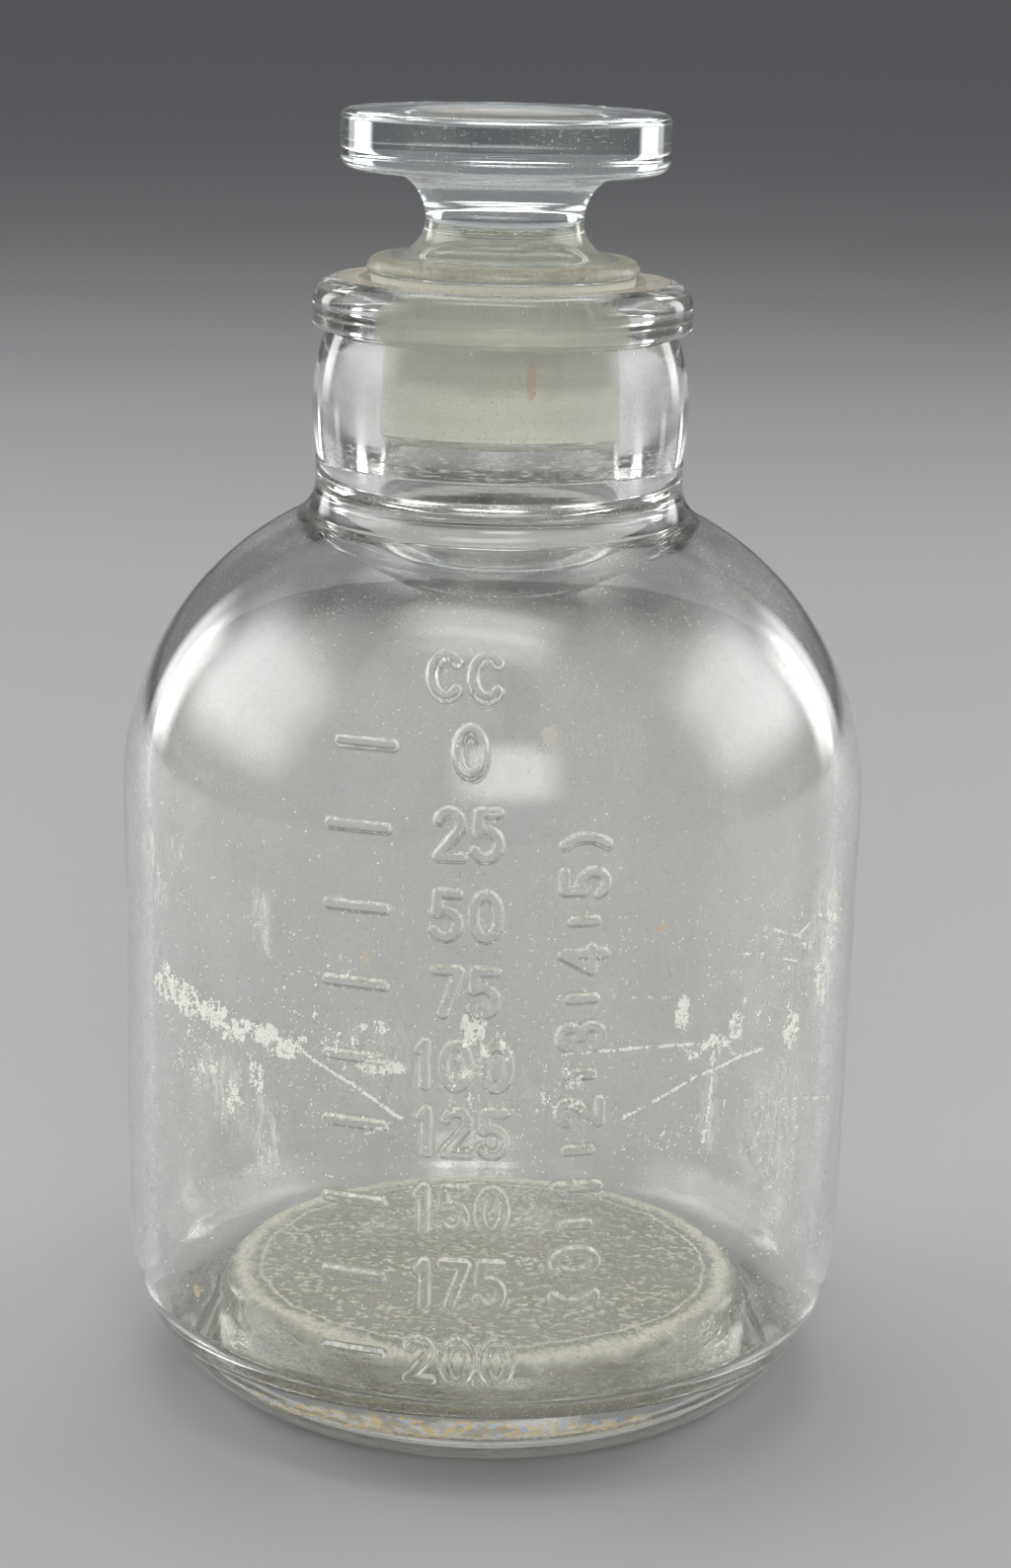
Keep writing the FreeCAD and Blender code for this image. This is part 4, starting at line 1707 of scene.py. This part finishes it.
@dataclass
class Residue:
    """Dried mineral residue on the front of the glass, thin flakes and specks. Sizes in millimetres.

    Attributes:
        bottle: The bottle that it lies on.
        cell: Size of the cells that the flakes are made of.
        left, right: Ends of the crusted part round the glass, u.
        low, high: Its lowest and highest point.
        thickness: Thickness of a flake.
        lift: Gap between it and the glass, so that the two don't share a surface.
        jitter: How far a cell's corners stray, as a share of the cell.
        seed: Seed of the random draws.
        grain_size: Size of the grain round the glass and upwards.
        grain_depth: Slice of the noise that gives the grain.
        grain_swing: How strongly the grain swings.
        grain_octaves: Octaves of finer grain.
        grain_step: How much finer each is than the last.
        grain_fall: How fast they grow weaker.
        thinnest: Thickness below which no flake lies.
        full: Grain and thickness together, above which a cell is crusted.
        kept_share: Share of such cells that are kept.
        patch_rim: Where a patch ends, in its own sizes, having faded over one of them.
        trail_rim: The same for a trail, in its own widths.
        trail_room: Room round a trail in which its distance is measured.
        speck_share: Overall chance of a lone speck in a cell.
        speck_anywhere: Weight of that chance everywhere.
        speck_beside: Weight added beside the crust.
        speck_banded: Weight added in the band round the middle.
        band_middle: Height of that band's middle.
        band_half: Half its height.
        patches: Where the crust is thick.
        trails: Scratches that hold crust.
    """

    bottle: Bottle
    cell: float = 0.13
    left: float = -40.0
    right: float = 43.0
    low: float = 14.0
    high: float = 66.0
    thickness: float = 0.05
    lift: float = 0.01
    jitter: float = 0.3
    seed: int = 7
    grain_size: Point = (0.9, 1.3)
    grain_depth: float = 3.1
    grain_swing: float = 0.34
    grain_octaves: int = 5
    grain_step: float = 2.1
    grain_fall: float = 0.35
    thinnest: float = 0.2
    full: float = 1.12
    kept_share: float = 0.92
    patch_rim: float = 1.6
    trail_rim: float = 1.5
    trail_room: float = 2.0
    speck_share: float = 0.006
    speck_anywhere: float = 0.35
    speck_beside: float = 3.2
    speck_banded: float = 0.9
    band_middle: float = 43.0
    band_half: float = 14.0
    patches: tuple[Patch, ...] = (
        Patch((-36.0, 44.6), (2.6, 1.6), 0.62),
        Patch((-32.0, 44.2), (3.0, 1.8), 0.66),
        Patch((-28.0, 43.8), (2.6, 1.4), 0.68),
        Patch((-25.6, 42.6), (2.2, 1.1), 0.72),
        Patch((-21.6, 43.2), (2.2, 1.2), 0.74),
        Patch((-19.4, 42.2), (1.8, 1.0), 0.74),
        Patch((-31.0, 39.0), (5.0, 3.2), 0.44),
        Patch((-25.4, 36.3), (1.3, 1.9), 0.60),
        Patch((-22.5, 38.7), (1.0, 2.2), 0.52),
        Patch((-15.0, 44.0), (5.0, 4.0), 0.38),
        Patch((-17.0, 49.0), (5.5, 4.0), 0.32),
        Patch((-10.3, 45.6), (1.5, 0.8), 0.60),
        Patch((-9.6, 41.95), (2.3, 0.75), 0.95),
        Patch((-10.0, 35.9), (3.0, 0.6), 0.50),
        Patch((-14.0, 38.5), (9.0, 5.0), 0.28),
        Patch((-1.2, 46.0), (1.3, 1.8), 0.74),
        Patch((0.8, 44.6), (2.2, 1.4), 0.56),
        Patch((-1.5, 42.6), (2.4, 1.6), 0.50),
        Patch((-1.0, 39.6), (3.2, 1.8), 0.40),
        Patch((0.5, 36.0), (3.2, 1.4), 0.30),
        Patch((18.4, 46.4), (0.8, 1.7), 0.84),
        Patch((24.6, 44.4), (0.9, 1.6), 0.78),
        Patch((22.3, 42.8), (3.4, 1.3), 0.56),
        Patch((18.6, 42.6), (1.4, 0.7), 0.50),
        Patch((32.6, 42.3), (1.3, 2.2), 0.74),
        Patch((38.0, 45.5), (1.6, 3.0), 0.58),
        Patch((40.0, 51.0), (1.8, 4.0), 0.50),
        Patch((30.0, 49.0), (8.0, 6.0), 0.34),
        Patch((17.5, 35.0), (4.0, 2.0), 0.40),
        Patch((31.0, 31.0), (5.0, 7.0), 0.34),
        Patch((6.6, 40.5), (2.6, 3.0), 0.46),
    )
    trails: tuple[Trail, ...] = (
        Trail(((-18.0, 42.8), (-16.0, 41.6), (-12.0, 39.8), (-7.6, 37.2)), 0.17, 0.86),
        Trail(((-36.0, 46.2), (-31.0, 44.6), (-26.0, 43.2), (-21.9, 43.6), (-18.0, 42.5)), 0.8, 0.62),
        Trail(((12.0, 37.0), (16.0, 38.6), (20.0, 40.2), (25.6, 41.3), (28.3, 41.4)), 0.15, 0.78),
        Trail(((7.0, 43.7), (14.3, 43.8), (19.0, 43.5), (24.0, 42.9)), 0.16, 0.70),
        Trail(((8.0, 49.2), (17.0, 48.2)), 0.12, 0.55),
        Trail(((22.0, 41.8), (21.8, 37.5), (21.2, 33.8)), 0.18, 0.80),
        Trail(((24.0, 39.8), (23.4, 36.2)), 0.16, 0.62),
        Trail(((23.8, 51.4), (28.0, 50.6), (33.0, 48.9)), 0.14, 0.62),
        Trail(((29.0, 52.8), (33.0, 51.4), (36.5, 52.6), (41.0, 51.6)), 0.16, 0.66),
        Trail(((27.0, 34.8), (30.0, 36.2), (36.0, 34.6), (42.0, 33.0)), 0.16, 0.58),
        Trail(((-21.9, 37.4), (-21.6, 33.6), (-21.4, 31.6)), 0.20, 0.42),
        Trail(((-24.0, 42.0), (-22.4, 38.6)), 0.24, 0.40),
    )

    def thickness_at(self, u: np.ndarray, height: np.ndarray) -> np.ndarray:
        """Works out how thick the crust is meant to lie.

        Args:
            u: Places round the glass.
            height: Heights.

        Returns:
            The share at each point, from 0 to 1.
        """
        thick = np.zeros(len(u))
        for patch in self.patches:
            away = np.hypot((u - patch.place[0]) / patch.size[0], (height - patch.place[1]) / patch.size[1])
            thick = np.maximum(thick, patch.strength * smoothstep(self.patch_rim - away))
        for trail in self.trails:
            lines = np.array([a + b for a, b in zip(trail.points, trail.points[1:])])
            low, high = lines[:, [0, 2]].min() - self.trail_room, lines[:, [0, 2]].max() + self.trail_room
            near = np.flatnonzero((u > low) & (u < high))
            away = distance_to(np.c_[u[near], height[near]], lines) / trail.width
            thick[near] = np.maximum(thick[near], trail.strength * smoothstep(self.trail_rim - away))
        return thick

    def speck_chance(self, thick: np.ndarray, height: np.ndarray) -> np.ndarray:
        """Works out the chance of a lone speck, best beside the crust and in the band round the middle.

        Args:
            thick: How thick the crust is meant to lie at each cell.
            height: The cells' heights.

        Returns:
            The chance for each cell, from 0 to 1.
        """
        beside = self.speck_beside * np.clip(thick, 0, 0.5)
        banded = self.speck_banded * (np.abs(height - self.band_middle) < self.band_half)
        return self.speck_share * (self.speck_anywhere + beside + banded)

    def covered(self, u: np.ndarray, height: np.ndarray, shape: tuple[int, int]) -> np.ndarray:
        """Chooses the cells of the front that carry crust.

        Args:
            u: Places of the cells' middles round the glass.
            height: Their heights.
            shape: Rows and columns of the grid.

        Returns:
            True where a cell is kept.
        """
        thick = self.thickness_at(u, height)
        rng = np.random.default_rng(self.seed)
        kept = np.zeros(len(u), bool)
        likely = np.flatnonzero(thick > self.thinnest)
        grain = np.array([self.grain_at(u[index], height[index]) for index in likely])
        kept[likely] = (grain + thick[likely] > self.full) & (rng.random(len(likely)) < self.kept_share)
        kept |= rng.random(len(u)) < self.speck_chance(thick, height)
        # Cells that meet only at a corner would leave a pinched flake, so one of the two goes.
        grid = kept.reshape(shape)
        for flip in (grid, grid[:, ::-1]):
            corner = flip[:-1, :-1] & flip[1:, 1:] & ~flip[:-1, 1:] & ~flip[1:, :-1]
            flip[1:, 1:] &= ~corner
        return grid.ravel()

    def grain_at(self, u: float, height: float) -> float:
        """Grain of the crust at a place, around one half."""
        place = Vector((u / self.grain_size[0], height / self.grain_size[1], self.grain_depth))
        swing = noise.fractal(place, self.grain_fall, self.grain_step, self.grain_octaves)
        return 0.5 + swing * self.grain_swing

    def build(self) -> Piece:
        """Models the residue: a fine grid with its bare cells deleted, laid on the glass and thickened.

        Returns:
            The finished piece.
        """
        columns = round((self.right - self.left) / self.cell)
        rows = round((self.high - self.low) / self.cell)
        bpy.ops.object.select_all(action="DESELECT")
        bpy.ops.mesh.primitive_grid_add(x_subdivisions=columns, y_subdivisions=rows, size=1.0)
        piece = bpy.context.active_object
        piece.name = "dried_residue"
        piece.data.name = "dried_residue"
        # The grid comes 1 m wide, so these are shares of it from -0.5 to 0.5.
        flat = places(piece) * MM
        flat[:, 0] = self.left + (flat[:, 0] + 0.5) * (self.right - self.left)
        flat[:, 1] = self.low + (flat[:, 1] + 0.5) * (self.high - self.low)
        put_places(piece, flat)
        middles = face_middles(piece)
        pick_faces(piece, ~self.covered(middles[:, 0], middles[:, 1], (rows, columns)))
        bpy.ops.mesh.delete(type="FACE")
        bpy.ops.mesh.select_mode(type="VERT")
        bpy.ops.object.mode_set(mode="OBJECT")
        self.lay(piece)
        wall = piece.modifiers.new("flakes", "SOLIDIFY")
        wall.thickness = self.thickness * MM
        wall.offset = 1.0
        bpy.ops.object.modifier_apply(modifier=wall.name)
        dress(piece, Crusted("mineral_crust"))
        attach(piece, "root")
        return piece

    def lay(self, piece: Piece) -> None:
        """Roughens the flakes' outlines and wraps them round the glass, over the raised figures.

        Args:
            piece: The flakes, still flat.
        """
        bottle = self.bottle
        flat = places(piece)
        rng = np.random.default_rng(self.seed + 1)
        flat[:, :2] += rng.uniform(-self.jitter, self.jitter, (len(flat), 2)) * self.cell
        radius = np.interp(flat[:, 1], bottle.outer_heights, bottle.outer_radii)
        path = np.interp(flat[:, 1], bottle.outer_heights, bottle.outer_path)
        angle = flat[:, 0] / radius
        radius += bottle.relief(np.c_[flat[:, 0], path]) * bottle.graduation.rise + self.lift
        put_places(piece, np.c_[radius * np.sin(angle), -radius * np.cos(angle), flat[:, 1]])


@dataclass(frozen=True)
class Softbox:
    """A rectangular soft box.

    Attributes:
        name: Name of the lamp.
        place: Where it hangs, in metres.
        size: Its width and height.
        radiance: Brightness of its middle, where a white sheet in plain light is 1.
        soft: Share of its width and height over which it fades at each edge.
        mirrored: Whether the glass mirrors it.
    """

    name: str
    place: Place
    size: Point
    radiance: float
    soft: float = 0.35
    mirrored: bool = True


@dataclass(frozen=True)
class Studio:
    """Floor, lamps and camera. Lengths in metres, angles in degrees.

    Attributes:
        distance: How far the camera stands in front of the bottle's axis.
        camera_height: Its height above the floor.
        pitch: How far it looks down.
        yaw: How far it looks to the right.
        roll: How far its top leans to the left.
        focal_pixels: Its focal length, in the photograph's pixels.
        picture_height: The photograph's height, in pixels.
        sensor: Long side of the camera's sensor, in millimetres.
        floor_radius: Radius of the floor.
        floor_sides: Number of its sides.
        world_colour: Light from all round.
        aim_height: Height on the bottle's axis that the lamps look at.
        bounces: How often light may bounce or pass through glass.
        softboxes: The lamps.
    """

    distance: float = 0.3420
    camera_height: float = 0.14225
    pitch: float = 13.524
    yaw: float = 0.213
    roll: float = 1.277
    focal_pixels: float = 3636.15
    picture_height: float = 1588.0
    sensor: float = 36.0
    floor_radius: float = 12.0
    floor_sides: int = 128
    world_colour: Colour = (0.19, 0.195, 0.205)
    aim_height: float = 0.06
    bounces: int = 14
    softboxes: tuple[Softbox, ...] = (
        Softbox("window_left", (-0.82, 0.08, 0.50), (1.25, 0.85), 3.6),
        Softbox("window_right", (0.82, 0.14, 0.48), (1.20, 0.80), 3.3),
        Softbox("ceiling", (0.0, 0.42, 0.90), (0.90, 0.45), 4.8),
        Softbox("overhead", (-0.05, -0.18, 0.98), (0.80, 0.30), 4.6),
        Softbox("front_fill", (0.10, -1.15, 0.60), (1.00, 0.70), 8.0, mirrored=False),
        Softbox("rim_left", (-0.70, 0.65, 0.25), (0.30, 0.60), 4.6),
        Softbox("rim_right", (0.70, 0.65, 0.25), (0.30, 0.60), 4.6),
    )

    def add_camera(self) -> None:
        """Adds a camera at the photograph's angle, with its long side upright."""
        pitch, yaw, roll = (math.radians(angle) for angle in (self.pitch, self.yaw, self.roll))
        ahead = Vector((math.sin(yaw) * math.cos(pitch), math.cos(yaw) * math.cos(pitch), -math.sin(pitch)))
        level = Vector((math.cos(yaw), -math.sin(yaw), 0.0))
        upright = level.cross(ahead)
        right = level * math.cos(roll) + upright * math.sin(roll)
        up = upright * math.cos(roll) - level * math.sin(roll)
        bpy.ops.object.camera_add()
        camera = bpy.context.active_object
        camera.name = "camera"
        camera.data.sensor_width = self.sensor
        camera.data.lens = self.focal_pixels / self.picture_height * self.sensor
        turn = Matrix((right, up, -ahead)).transposed().to_4x4()
        camera.matrix_world = Matrix.Translation((0.0, -self.distance, self.camera_height)) @ turn
        bpy.context.scene.camera = camera

    def add_floor(self) -> None:
        """Adds a plain pale floor that runs far back."""
        bpy.ops.object.select_all(action="DESELECT")
        bpy.ops.mesh.primitive_circle_add(
            vertices=self.floor_sides, radius=self.floor_radius, fill_type="NGON",
        )
        floor = bpy.context.active_object
        floor.name = "floor"
        dress(floor, Paper("floor_paper"))

    def add_softbox(self, box: Softbox) -> None:
        """Adds a soft box that looks at the bottle, brightest in its middle.

        Args:
            box: The soft box.
        """
        bpy.ops.object.light_add(type="AREA", location=box.place)
        lamp = bpy.context.active_object
        lamp.name = box.name
        lamp.data.shape = "RECTANGLE"
        lamp.data.size, lamp.data.size_y = box.size
        lamp.data.energy = box.radiance * math.pi * box.size[0] * box.size[1]
        aim = Vector((0.0, 0.0, self.aim_height)) - Vector(box.place)
        lamp.rotation_euler = aim.to_track_quat("-Z", "Y").to_euler()
        lamp.visible_glossy = box.mirrored
        lamp.data.use_nodes = True
        nodes = Nodes(lamp.data.node_tree, "OutputLight")
        across = nodes.add("SeparateXYZ", nodes.add("NewGeometry").outputs["Parametric"])
        shares = []
        for axis in ("X", "Y"):
            offset = nodes.math("ABSOLUTE", nodes.math("SUBTRACT", across.outputs[axis], 0.5))
            shares.append(nodes.below(offset, 0.5 - box.soft, 0.5))
        glow = nodes.add("Emission", Strength=nodes.product(*shares))
        nodes.finish(glow.outputs[0])

    def add_lights(self) -> None:
        """Adds the soft boxes, and a dim even world."""
        for box in self.softboxes:
            self.add_softbox(box)
        world = bpy.data.worlds.new("surroundings")
        bpy.context.scene.world = world
        world.use_nodes = True
        background = world.node_tree.nodes["Background"]
        background.inputs["Color"].default_value = (*self.world_colour, 1.0)

    def build(self) -> None:
        """Sets up the whole studio."""
        self.add_camera()
        self.add_floor()
        self.add_lights()
        scene = bpy.context.scene
        scene.view_settings.view_transform = "Standard"
        scene.cycles.max_bounces = self.bounces
        scene.cycles.transmission_bounces = self.bounces


def report(piece: Piece) -> None:
    """Logs a piece's size and triangle count."""
    piece.data.calc_loop_triangles()
    triangles = len(piece.data.loop_triangles)
    log.info("%s: %d triangles, %.1f mm high", piece.name, triangles, piece.dimensions.z / MM)


def main() -> None:
    """Builds the studio, the bottle, the stopper and the residue."""
    logging.basicConfig(level=logging.INFO, format="%(name)s %(message)s")
    Studio().build()
    bottle = Bottle()
    report(bottle.build())
    report(Stopper(bottle).build())
    report(Residue(bottle).build())


if __name__ == "__main__":
    main()
